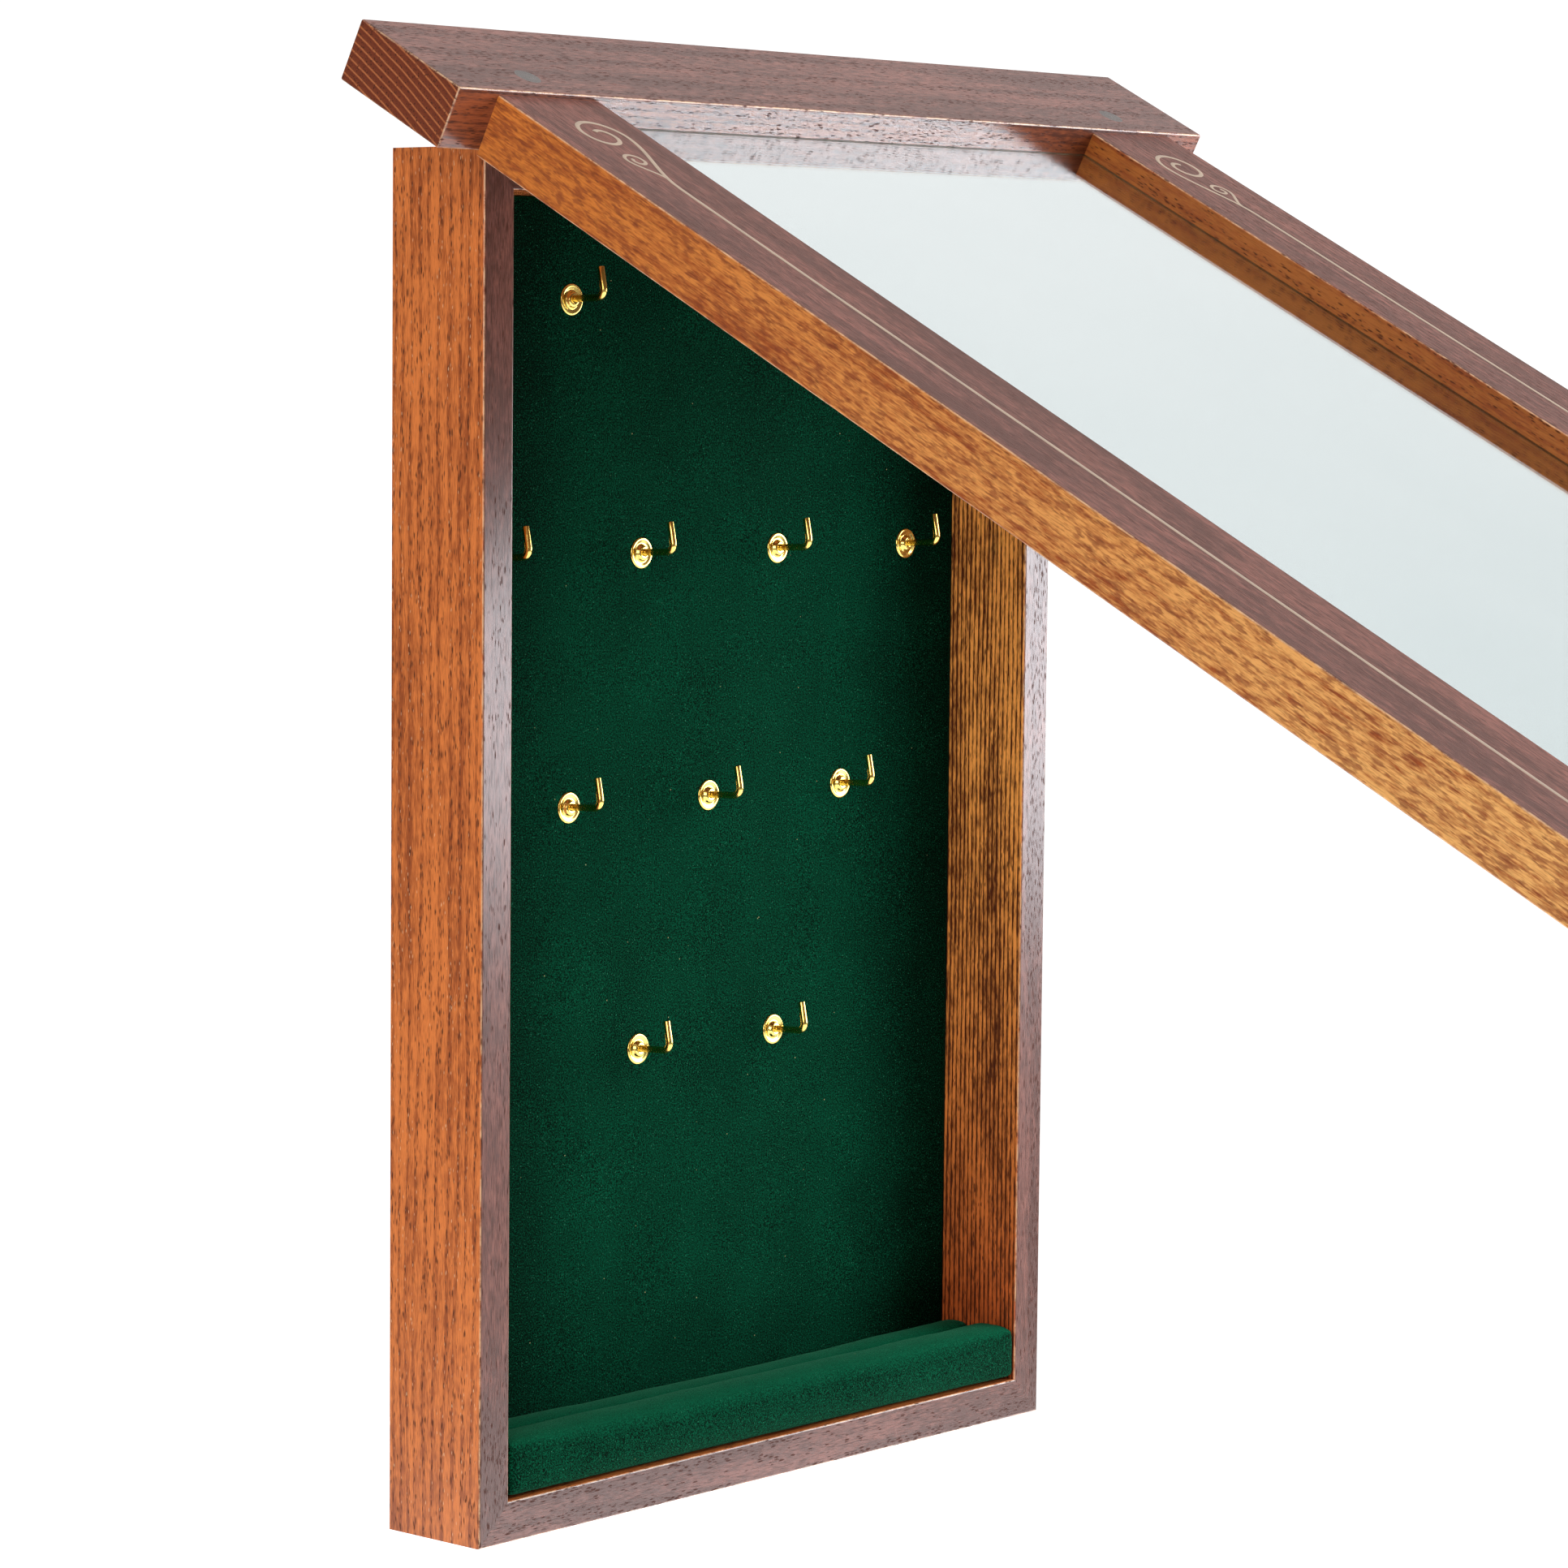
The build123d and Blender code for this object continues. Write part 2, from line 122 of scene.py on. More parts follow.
def length(name, description, millimetres):
    """A length property from millimetres."""
    return bpy.props.FloatProperty(name=name, description=description, unit="LENGTH",
                                   default=millimetres * MM, precision=5)


class OakSettings(bpy.types.PropertyGroup):
    """Stain and grain of the oak, with the painted shade, sheen and highlights laid over it."""
    amber: shade("Amber", "Stain on the smooth late wood of the sides", "#D27638")
    russet: shade("Russet", "Stain soaked into the early wood of the sides", "#93481E")
    # The front colours are darker and more purple than the sides of the same boards: the stain, with
    # painted shade and a painted sheen of the lacquer.
    umber: shade("Umber", "Stain on the front faces", "#74453A")
    umber_deep: shade("Deep umber", "Early wood of the front faces", "#4C281E")
    honey: shade("Honey", "Late wood of the door's edges", "#DDA460")
    ray: shade("Ray flecks", "Flecks where the rays come to the face", "#7C3A1E")
    end_dark: shade("End grain", "Stain drunk by the end grain", "#6A2C16")
    end_light: shade("End grain lines", "Late wood in the end grain", "#AE663C")
    pore: shade("Pores", "Stain that settled in the open pores", "#3F1C10")
    # This pale colour stands for rubbed wear and also serves as a painted highlight on rounded edges and
    # beside the pores.
    worn_and_highlight: shade("Worn edge", "Wood where the stain is rubbed off an edge", "#DDB48C")
    raw: shade("Raw oak", "Unstained wood in the mirror rebate", "#D8CBA8")
    pore_width: length("Pore width", "Width of an open pore, drawn a little coarse", 0.34)
    pore_length: length("Pore length", "Length of an open pore along the grain", 2.6)


class ClothSettings(bpy.types.PropertyGroup):
    """Velvet lining and rolls."""
    dye: shade("Dye", "Colour deep in the pile", "#000A04")
    tips: shade("Tips", "Colour of the pile where it catches the light", "#044E34")
    hair: shade("Hair", "A single hair that catches the light", "#3C8264")
    lint: shade("Lint", "Dust and lint on the pile", "#B9AE7C")
    pile: length("Pile", "Thickness of the velvet", 0.8)
    dimple: length("Dimple", "How deep a collar presses into the pile", 0.55)
    dimple_reach: length("Dimple reach", "Distance over which the pile recovers", 5.0)


class MetalSettings(bpy.types.PropertyGroup):
    """Brass and steel."""
    brass: shade("Brass", "Polished lacquered brass of the hooks", "#E8CB70")
    hinge: shade("Hinge brass", "Drawn brass of the hinges", "#C9A45A")
    steel: shade("Steel", "Zinc plated steel", "#B9BABB")
    recess: length("Recess", "Depth of a screw's cross recess", 0.9)
    bend: length("Bend", "Radius of a hook's bend, on the wire's centre line", 3.0)


class MirrorSettings(bpy.types.PropertyGroup):
    """Silvered float glass."""
    silver: shade("Silver", "Reflectance of the silvering", "#F4F8F8")
    glass: shade("Glass", "Tint of the glass", "#FCFEFE")
    coat: length("Coat", "Thickness of the silvering and its back paint", 0.12)


class InlaySettings(bpy.types.PropertyGroup):
    """Painted gold line and scroll on the stiles."""
    gold: shade("Gold", "Old gold paint", "#998470")
    width: length("Line width", "Width of the line", 1.8)
    height: length("Paint height", "How far the paint stands above the lacquer", 0.12)
    start: length("Line start", "From the rail's lower edge to the scroll", 10.0)
    scroll: length("Scroll length", "Length of the scroll", 56.0)
    tail: length("Line end", "From the stile's foot to the line's plain end", 36.0)


class StageSettings(bpy.types.PropertyGroup):
    """Camera, lights and floor."""
    place: bpy.props.FloatVectorProperty(name="Camera place", description="Where the camera stands",
                                         subtype="TRANSLATION", unit="LENGTH",
                                         default=(-1.34823, -1.22046, 0.17276))
    forward: bpy.props.FloatVectorProperty(name="Camera direction", description="Where it looks",
                                           subtype="DIRECTION", default=(0.7508, 0.6547, -0.0876))
    right: bpy.props.FloatVectorProperty(name="Camera right", description="The camera's level",
                                         subtype="DIRECTION", default=(0.6578, -0.7531, 0.0094))
    lens: bpy.props.FloatProperty(name="Lens", description="Focal length in millimetres",
                                  unit="CAMERA", default=113.54)
    floor_drop: length("Floor drop", "From the lowest point of the showcase to the floor", 420.0)


SETTINGS = {"oak": OakSettings, "cloth": ClothSettings, "metal": MetalSettings,
            "mirror": MirrorSettings, "inlay": InlaySettings, "stage": StageSettings}


def setting(group):
    """One group of the scene's settings."""
    return getattr(bpy.context.scene, "showcase_" + group)


# ------------------------------------------------------------------ materials
MATH, VECTOR, RANGE = "ShaderNodeMath", "ShaderNodeVectorMath", "ShaderNodeMapRange"
NOISE, CELLS, MAPPING = "ShaderNodeTexNoise", "ShaderNodeTexVoronoi", "ShaderNodeMapping"
MIX, SPLIT, SPLIT_COLOUR = "ShaderNodeMix", "ShaderNodeSeparateXYZ", "ShaderNodeSeparateColor"
PLACE, BUMP, SHADER = "ShaderNodeTexCoord", "ShaderNodeBump", "ShaderNodeBsdfPrincipled"
SURFACE = "ShaderNodeOutputMaterial"
BLEND = {"data_type": "RGBA", "out": 2}


def add(tree, kind, sockets, stops=(), out=0, **options):
    """Add a node with its options, colour stops, values and links, and give back one output."""
    node = tree.nodes.new(kind)
    for name, value in options.items():
        setattr(node, name, value)
    for number, (place, level) in enumerate(stops):
        ramp = node.color_ramp.elements
        stop = ramp[number] if number < len(ramp) else ramp.new(place)
        stop.position = place
        stop.color = (level, level, level, 1.0)
    for name, value in sockets.items():
        socket = node.inputs[name]
        if isinstance(value, bpy.types.NodeSocket):
            tree.links.new(value, socket)
        elif socket.type == "RGBA":
            socket.default_value = (*tuple(value)[:3], 1.0)
        else:
            socket.default_value = value
    return node.outputs[out] if node.outputs else node


def new_material(name):
    """An empty node material and its tree."""
    material = bpy.data.materials.new(name)
    material.use_nodes = True
    material.node_tree.nodes.clear()
    return material, material.node_tree


def per(millimetres):
    """Texture scale for a pattern that repeats every so many millimetres."""
    return 1.0 / (millimetres * MM)


def oak(name, turn, pith, pitch, late, early, contrast=1.0, wander=1.6, holes=1.0, blotch=0.0,
        glint=0.0, satin=0.0, fade=None, inner=None, raw_y=None):
    """Stained open-grain oak, sawn, sanded and lacquered.

    Ring-porous wood: each ring starts with a band of big open pores that drink the stain and
    show as dark dashes, and ends in smooth late wood. The lacquer is thin and even, so it mirrors
    the room like a polish except over the pores, which stay open.

    turn brings the board to grain along Z and its face along -Y. pith is the tree's centre in that
    frame, in metres, and pitch one year's growth in millimetres. contrast, wander, holes, blotch,
    glint and satin set how strong the rings, their waver, the pores, the ray flecks, the painted
    highlights beside the pores and the dulling of the front are. fade is a second late colour and
    the heights it spreads between. inner is the late and early colour of a face towards -X that has
    its own. raw_y is the depth of a rebate that was left unstained.
    """
    s = setting("oak")
    material, tree = new_material(name)
    where = add(tree, PLACE, {}, out="Object")
    euler = turn.to_euler()
    board = add(tree, MAPPING, {"Vector": where, "Rotation": euler})
    facing = add(tree, MAPPING, {"Vector": where.node.outputs["Normal"], "Rotation": euler},
                 vector_type="VECTOR")
    towards = add(tree, VECTOR, {0: facing, 1: (0, -1, 0)}, out="Value", operation="DOT_PRODUCT")
    front = add(tree, RANGE, {"Value": towards, "From Min": 0.55, "From Max": 0.9})
    size = add(tree, VECTOR, {0: facing}, operation="ABSOLUTE")
    parts = add(tree, SPLIT, {"Vector": size}).node.outputs
    end = add(tree, RANGE, {"Value": parts[2], "From Min": 0.75, "From Max": 0.9})

    # Growth rings round the pith, bent slowly along the grain.
    slow = add(tree, MAPPING, {"Vector": board, "Scale": (1, 1, 0.12)})
    drift = add(tree, NOISE, {"Vector": slow, "Scale": per(26), "Detail": 3.0, "Roughness": 0.5},
                out="Color")
    sway = wander * pitch * MM * 2
    swayed = add(tree, VECTOR, {0: drift, 1: (sway,) * 3, 2: board}, operation="MULTIPLY_ADD")
    centre = (pith[0] + sway / 2, pith[1] + sway / 2, 0)
    from_pith = add(tree, VECTOR, {0: swayed, 1: centre}, operation="SUBTRACT")
    flat = add(tree, VECTOR, {0: from_pith, 1: (1, 1, 0)}, operation="MULTIPLY")
    radius = add(tree, VECTOR, {0: flat}, out="Value", operation="LENGTH")
    year = add(tree, MATH, {0: add(tree, MATH, {0: radius, 1: per(pitch)}, operation="MULTIPLY")},
               operation="FRACT")
    early_wood = add(tree, "ShaderNodeValToRGB", {"Fac": year}, stops=(
        (0.0, 0.15), (0.05, 1.0), (0.25, 0.9), (0.45, 0.12), (0.95, 0.0), (1.0, 0.15)))
    late_line = add(tree, "ShaderNodeValToRGB", {"Fac": year}, stops=(
        (0.0, 0.1), (0.66, 0.0), (0.80, 0.9), (0.90, 1.0), (0.97, 0.15), (1.0, 0.1)))

    # Open pores: long thin cells with ragged sides, crowded in the early wood.
    width, run = s.pore_width * 2.3, s.pore_length * 1.3
    ragged = add(tree, NOISE, {"Vector": slow, "Scale": per(0.8), "Detail": 1.0}, out="Color")
    scaled = add(tree, MAPPING, {"Vector": board, "Scale": (1 / width, 1 / width, 1 / run)})
    drifted = add(tree, VECTOR, {0: drift, 1: (5.0, 5.0, 2.0), 2: scaled}, operation="MULTIPLY_ADD")
    cells = add(tree, VECTOR, {0: ragged, 1: (0.9, 0.9, 0.5), 2: drifted}, operation="MULTIPLY_ADD")
    nearest = add(tree, CELLS, {"Vector": cells, "Scale": 1.0}, out="Distance")
    chance = add(tree, SPLIT_COLOUR, {"Color": nearest.node.outputs["Color"]}).node.outputs
    wanted = add(tree, RANGE, {"Value": early_wood, "To Min": 0.16, "To Max": 1.0})
    present = add(tree, MATH, {0: chance[0], 1: wanted}, operation="LESS_THAN")
    reach = add(tree, RANGE, {"Value": chance[1], "To Min": 0.28, "To Max": 0.56})
    core = add(tree, MATH, {0: reach, 1: 0.5}, operation="MULTIPLY")
    hollow = add(tree, RANGE, {"Value": nearest, "From Min": reach, "From Max": core, "To Max": holes})
    pores = add(tree, MATH, {0: hollow, 1: present}, operation="MULTIPLY")
    # Painted highlight: the lit lip beside a pore, drawn in the pale edge colour.
    shifted = add(tree, VECTOR, {0: cells, 1: (0.45, 0.45, 0.1)})
    beside = add(tree, CELLS, {"Vector": shifted, "Scale": 1.0}, out="Distance")
    lip = add(tree, RANGE, {"Value": beside, "From Min": 0.24, "From Max": 0.1, "To Max": glint})
    luck = add(tree, SPLIT_COLOUR, {"Color": beside.node.outputs["Color"]})
    lucky = add(tree, MATH, {0: luck, 1: add(tree, MATH, {0: wanted, 1: 0.45}, operation="MULTIPLY")},
                operation="LESS_THAN")
    lit = add(tree, MATH, {0: lip, 1: lucky}, operation="MULTIPLY")
    on_side = add(tree, MATH, {0: 1.0, 1: front}, operation="SUBTRACT")
    painted_pore_highlights = add(tree, MATH, {0: lit, 1: on_side}, operation="MULTIPLY")

    # Hair-fine streaks, mottle, flecks of ray, and slow changes of stain.
    layers = []
    for spacing, stretch, low, high, strength in (
            (0.42, 0.07, 0.50, 0.66, 1.0), (1.6, 0.26, 0.51, 0.62, blotch),
            (0.55, 0.12, 0.2, 0.8, 1.3), (2.4, 0.3, 0.2, 0.8, 1.1), (13, 0.12, 0.2, 0.8, 1.3)):
        run_on = add(tree, MAPPING, {"Vector": board, "Scale": (1, 1, stretch)})
        layer = add(tree, NOISE, {"Vector": run_on, "Scale": per(spacing), "Detail": 2.5, "Roughness": 0.6})
        layers.append(add(tree, RANGE, {"Value": layer, "From Min": low, "From Max": high,
                                        "To Max": strength}))
    hairs, flecks, fine, mottle, cloud = layers
    tone = add(tree, MATH, {0: fine, 1: add(tree, MATH, {0: mottle, 1: cloud})})
    ringed = add(tree, MATH, {0: early_wood, 1: contrast, 2: -1.62}, operation="MULTIPLY_ADD")
    soak = add(tree, MATH, {0: ringed, 1: tone}, use_clamp=True)
    softer = add(tree, MATH, {0: early_wood, 1: 0.4, 2: -1.3}, operation="MULTIPLY_ADD")
    softer = add(tree, MATH, {0: softer, 1: tone}, use_clamp=True)

    if inner:
        inwards = add(tree, SPLIT, {"Vector": facing})
        lining_side = add(tree, RANGE, {"Value": inwards, "From Min": -0.6, "From Max": -0.9})
        late = add(tree, MIX, {0: lining_side, 6: late, 7: inner[0]}, **BLEND)
        early = add(tree, MIX, {0: lining_side, 6: early, 7: inner[1]}, **BLEND)
    if fade:
        along = add(tree, SPLIT, {"Vector": board}, out=2)
        share = add(tree, RANGE, {"Value": along, "From Min": fade[1], "From Max": fade[2]})
        late = add(tree, MIX, {0: share, 6: late, 7: fade[0]}, **BLEND)
    wood = add(tree, MIX, {0: soak, 6: late, 7: early}, **BLEND)
    wood = add(tree, MIX, {0: flecks, 6: wood, 7: s.ray}, **BLEND)
    # Faces towards -Y take the front colours: the stain with painted shade and painted sheen.
    front_wood_and_sheen = add(tree, MIX, {0: softer, 6: s.umber, 7: s.umber_deep}, **BLEND)
    end_wood = add(tree, MIX, {0: late_line, 6: s.end_dark, 7: s.end_light}, **BLEND)
    wood = add(tree, MIX, {0: front, 6: wood, 7: front_wood_and_sheen}, **BLEND)
    wood = add(tree, MIX, {0: end, 6: wood, 7: end_wood}, **BLEND)
    strong = add(tree, RANGE, {"Value": front, "To Min": 0.3, "To Max": 0.85})
    dashes = add(tree, MATH, {0: hairs, 1: strong}, operation="MULTIPLY")
    wood = add(tree, MIX, {0: dashes, 6: wood, 7: s.pore}, **BLEND)

    # Edges rubbed through to bare wood where a face turns into the next one; their pale colour is also a
    # painted highlight along the rounded edges.
    flatter = add(tree, MATH, {0: parts[0], 1: parts[1]}, operation="MAXIMUM")
    most = add(tree, MATH, {0: flatter, 1: parts[2]}, operation="MAXIMUM")
    turning = add(tree, RANGE, {"Value": most, "From Min": 0.985, "From Max": 0.80})
    rub = add(tree, NOISE, {"Vector": board, "Scale": per(7), "Detail": 5.0, "Roughness": 0.75})
    rubbed = add(tree, RANGE, {"Value": rub, "From Min": 0.40, "From Max": 0.58, "To Max": 0.7})
    edge = add(tree, MATH, {0: turning, 1: rubbed}, operation="MULTIPLY")
    wood = add(tree, MIX, {0: edge, 6: wood, 7: s.worn_and_highlight}, **BLEND)
    stained = add(tree, MATH, {0: pores, 1: 0.8}, operation="MULTIPLY")
    wood = add(tree, MIX, {0: stained, 6: wood, 7: s.pore}, **BLEND)
    # Painted highlights beside the pores on the side faces.
    wood = add(tree, MIX, {0: painted_pore_highlights, 6: wood, 7: s.worn_and_highlight}, **BLEND)
    if raw_y is not None:
        depth = add(tree, SPLIT, {"Vector": board}, out=1)
        at_rebate = add(tree, MATH, {0: depth, 1: raw_y, 2: 0.3 * MM}, operation="COMPARE")
        inward = add(tree, MATH, {0: towards, 1: -0.9}, operation="LESS_THAN")
        bare = add(tree, MATH, {0: at_rebate, 1: inward}, operation="MULTIPLY")
        wood = add(tree, MIX, {0: bare, 6: wood, 7: s.raw}, **BLEND)

    sunk = add(tree, MATH, {0: dashes, 1: 0.5, 2: pores}, operation="MULTIPLY_ADD")
    relief = add(tree, MATH, {0: tone, 1: 0.08}, operation="MULTIPLY")
    height = add(tree, MATH, {0: relief, 1: sunk}, operation="SUBTRACT")
    bump = add(tree, BUMP, {"Height": height, "Strength": 0.6, "Distance": 0.18 * MM})
    open_grain = add(tree, MATH, {0: sunk, 1: -0.9, 2: 1.0}, operation="MULTIPLY_ADD", use_clamp=True)
    dulled = add(tree, MATH, {0: front, 1: -satin, 2: 1.0}, operation="MULTIPLY_ADD")
    polish = add(tree, MATH, {0: open_grain, 1: dulled}, operation="MULTIPLY")
    shader = add(tree, SHADER, {
        "Base Color": wood, "Roughness": 0.6, "Normal": bump, "IOR": 1.5, "Specular IOR Level": 0.12,
        "Coat Weight": polish, "Coat Roughness": 0.2, "Coat IOR": 1.5})
    add(tree, SURFACE, {"Surface": shader})
    return material


def velvet(name, sheen, half_width):
    """Cotton velvet, cut pile: dark into the pile, pale along the tips where it is seen edge on.

    half_width is a distance from x = 0; over the 75 mm inside it the pile is painted darker, a painted
    shade from the side boards.
    """
    s = setting("cloth")
    material, tree = new_material(name)
    where = add(tree, PLACE, {}, out="Object")
    # The pile is 0.1 mm fine; it is drawn at 0.55 mm so that it shows.
    pile = add(tree, NOISE, {"Vector": where, "Scale": per(0.55), "Detail": 2.0, "Roughness": 0.75})
    nap = add(tree, NOISE, {"Vector": where, "Scale": per(38), "Detail": 3.0, "Roughness": 0.6})
    nap_and_painted_shade = add(tree, RANGE, {"Value": nap, "From Min": 0.3, "From Max": 0.7, "To Min": 0.2, "To Max": 0.34})
    # Painted shade: the pile is darkened towards the side boards, where their shade falls.
    across = add(tree, MATH, {0: add(tree, SPLIT, {"Vector": where})}, operation="ABSOLUTE")
    painted_side_shade = add(tree, RANGE, {"Value": across, "From Min": half_width - 0.075, "From Max": half_width,
                                "To Max": 0.3}, interpolation_type="SMOOTHSTEP")
    nap_and_painted_shade = add(tree, MATH, {0: nap_and_painted_shade, 1: painted_side_shade}, operation="SUBTRACT")
    # Painted shadow: the pile is darkened towards the top, where the door's shadow falls.
    height = add(tree, SPLIT, {"Vector": where}, out=2)
    painted_door_shadow = add(tree, RANGE, {"Value": height, "From Min": 0.07, "From Max": 0.24, "To Max": 0.2})
    nap_and_painted_shade = add(tree, MATH, {0: nap_and_painted_shade, 1: painted_door_shadow}, operation="SUBTRACT")
    # Painted light: faces that look up, such as the rolls' tops, are made paler as if lit from above.
    facing_up = add(tree, SPLIT, {"Vector": where.node.outputs["Normal"]}, out=2)
    painted_top_light = add(tree, RANGE, {"Value": facing_up, "From Min": 0.25, "From Max": 0.85, "To Max": 0.55})
    nap_and_painted_light = add(tree, MATH, {0: nap_and_painted_shade, 1: painted_top_light})
    specks = add(tree, RANGE, {"Value": pile, "From Min": 0.40, "From Max": 0.72,
                               "To Min": -0.3, "To Max": 0.75})
    amount = add(tree, MATH, {0: nap_and_painted_light, 1: specks}, use_clamp=True)
    colour = add(tree, MIX, {0: amount, 6: s.dye, 7: s.tips}, **BLEND)
    lint = add(tree, CELLS, {"Vector": where, "Scale": per(5.5)}, out="Distance")
    luck = add(tree, SPLIT_COLOUR, {"Color": lint.node.outputs["Color"]})
    some = add(tree, MATH, {0: luck, 1: 0.2}, operation="LESS_THAN")
    dot = add(tree, RANGE, {"Value": lint, "From Min": 0.05, "From Max": 0.03, "To Max": 0.6})
    fluff = add(tree, MATH, {0: dot, 1: some}, operation="MULTIPLY")
    colour = add(tree, MIX, {0: fluff, 6: colour, 7: s.lint}, **BLEND)
    # Single hairs that catch the light, 1.2 mm apart.
    hairs = add(tree, CELLS, {"Vector": where, "Scale": per(1.2)}, out="Distance")
    hair_luck = add(tree, SPLIT_COLOUR, {"Color": hairs.node.outputs["Color"]})
    bright = add(tree, RANGE, {"Value": hair_luck, "From Min": 0.5, "From Max": 1.0, "To Max": 0.7})
    tip = add(tree, RANGE, {"Value": hairs, "From Min": 0.2, "From Max": 0.08})
    glints = add(tree, MATH, {0: tip, 1: bright}, operation="MULTIPLY")
    colour = add(tree, MIX, {0: glints, 6: colour, 7: s.hair}, **BLEND)
    bump = add(tree, BUMP, {"Height": pile, "Strength": 0.8, "Distance": 0.35 * MM})
    shader = add(tree, SHADER, {
        "Base Color": colour, "Roughness": 0.95, "Specular IOR Level": 0.02, "Sheen Weight": sheen,
        "Sheen Roughness": 0.35, "Sheen Tint": linear("#5FB58D"), "Normal": bump})
    add(tree, SURFACE, {"Surface": shader})
    return material


def metal(name, colour, roughness, scratch=0.08, drawn=1.0):
    """Bare or lacquered metal, with the fine lines its making left."""
    material, tree = new_material(name)
    where = add(tree, PLACE, {}, out="Object")
    run = add(tree, MAPPING, {"Vector": where, "Scale": (1.0 / drawn, 1, 1)})
    lines = add(tree, NOISE, {"Vector": run, "Scale": per(0.5), "Detail": 3.0})
    cloud = add(tree, NOISE, {"Vector": where, "Scale": per(6), "Detail": 2.0})
    rough = add(tree, RANGE, {"Value": cloud, "From Min": 0.3, "From Max": 0.7,
                              "To Min": roughness * 0.75, "To Max": roughness * 1.35})
    tarnish = add(tree, RANGE, {"Value": cloud, "From Min": 0.35, "From Max": 0.8, "To Max": 0.3})
    tint = add(tree, MIX, {0: tarnish, 6: colour, 7: tuple(c * 0.62 for c in colour)}, **BLEND)
    bump = add(tree, BUMP, {"Height": lines, "Strength": scratch, "Distance": 0.05 * MM})
    shader = add(tree, SHADER, {"Base Color": tint, "Metallic": 1.0, "Roughness": rough, "Normal": bump})
    add(tree, SURFACE, {"Surface": shader})
    return material


def speckled(name, light, dark, grain_mm, roughness, stretch=(1, 1, 1), relief=0.3):
    """A matt material of small light and dark parts, such as felt, hardboard or paint."""
    material, tree = new_material(name)
    where = add(tree, PLACE, {}, out="Object")
    run = add(tree, MAPPING, {"Vector": where, "Scale": stretch})
    grain = add(tree, NOISE, {"Vector": run, "Scale": per(grain_mm), "Detail": 5.0, "Roughness": 0.65})
    cloud = add(tree, NOISE, {"Vector": run, "Scale": per(grain_mm * 18), "Detail": 2.0})
    level = add(tree, MATH, {0: grain, 1: 1.4, 2: cloud}, operation="MULTIPLY_ADD")
    factor = add(tree, RANGE, {"Value": level, "From Min": 0.8, "From Max": 1.6})
    tint = add(tree, MIX, {0: factor, 6: dark, 7: light}, **BLEND)
    bump = add(tree, BUMP, {"Height": grain, "Strength": relief, "Distance": 0.2 * MM})
    shader = add(tree, SHADER, {"Base Color": tint, "Roughness": roughness, "Normal": bump})
    add(tree, SURFACE, {"Surface": shader})
    return material


def glass():
    """Clear float glass: smooth, a trace of green that gathers at the edges."""
    material, tree = new_material("float_glass")
    shader = add(tree, SHADER, {"Base Color": setting("mirror").glass, "Roughness": 0.0, "IOR": 1.52,
                                "Transmission Weight": 1.0})
    add(tree, SURFACE, {"Surface": shader})
    return material


def silvering():
    """Chemically deposited silver behind the glass, faintly uneven, and painted darker and bluer lower down
    as a painted reflection of a dimmer room.
    """
    material, tree = new_material("mirror_silver")
    where = add(tree, PLACE, {}, out="Object")
    cloud = add(tree, NOISE, {"Vector": where, "Scale": per(90), "Detail": 1.0})
    height = add(tree, SPLIT, {"Vector": where}, out=2)
    # Painted reflection: the silver is made darker and bluer lower down, as if mirroring a dimmer room.
    foot = add(tree, RANGE, {"Value": height, "From Min": 0.26, "From Max": 0.02, "To Max": 0.9})
    some = add(tree, MATH, {0: cloud, 1: 0.2, 2: foot}, operation="MULTIPLY_ADD")
    tint = add(tree, MIX, {0: some, 6: setting("mirror").silver, 7: linear("#D6E2E3")}, **BLEND)
    shader = add(tree, SHADER, {"Base Color": tint, "Metallic": 1.0, "Roughness": 0.015})
    add(tree, SURFACE, {"Surface": shader})
    return material


def paint(obj, material):
    """Give an object one material."""
    if not obj.material_slots:
        obj.data.materials.append(material)
    for slot in obj.material_slots:
        slot.material = material


# ------------------------------------------------------------------ modelling helpers
def deselect():
    """Clear the selection so that an operator acts on the new piece alone."""
    if bpy.context.mode != "OBJECT":
        bpy.ops.object.mode_set(mode="OBJECT")
    for obj in bpy.context.scene.objects:
        obj.select_set(False)
    bpy.context.view_layer.objects.active = None


def only(obj):
    """Select one object and make it active."""
    deselect()
    obj.select_set(True)
    bpy.context.view_layer.objects.active = obj


def named(name):
    """Name the active object and its mesh."""
    obj = bpy.context.object
    obj.name = obj.data.name = name
    return obj


def settle(obj, matrix=None):
    """Put an object's place, and an extra matrix, into its mesh."""
    obj.data.transform((matrix or Matrix.Identity(4)) @ obj.matrix_world)
    obj.matrix_world = Matrix.Identity(4)
    return obj


def soften(obj, width, segments=3, angle=35):
    """Bevel the edges, smooth the faces and apply."""
    only(obj)
    bevel = obj.modifiers.new("Bevel", "BEVEL")
    bevel.width, bevel.segments, bevel.limit_method = width, segments, "ANGLE"
    bevel.angle_limit = math.radians(angle)
    bpy.ops.object.modifier_apply(modifier=bevel.name)
    bpy.ops.object.shade_smooth_by_angle(angle=math.radians(angle))
    return obj


def joined(objects, name):
    """Join objects into one piece."""
    only(objects[0])
    for obj in objects[1:]:
        obj.select_set(True)
    bpy.ops.object.join()
    return named(name)


def finish_piece(obj, body, material, replaces=()):
    """Hand a finished piece over: its finish, its body and the CAD nodes it stands for."""
    paint(obj, material)
    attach(obj, body)
    if replaces:
        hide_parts(*replaces)
    return obj


def block(name, centre, size, turn=0.0):
    """A box of a given size about its centre, turned about Z."""
    deselect()
    bpy.ops.mesh.primitive_cube_add(size=1, location=centre, rotation=(0, 0, turn))
    box = named(name)
    box.scale = size
    bpy.context.view_layer.update()
    return settle(box)


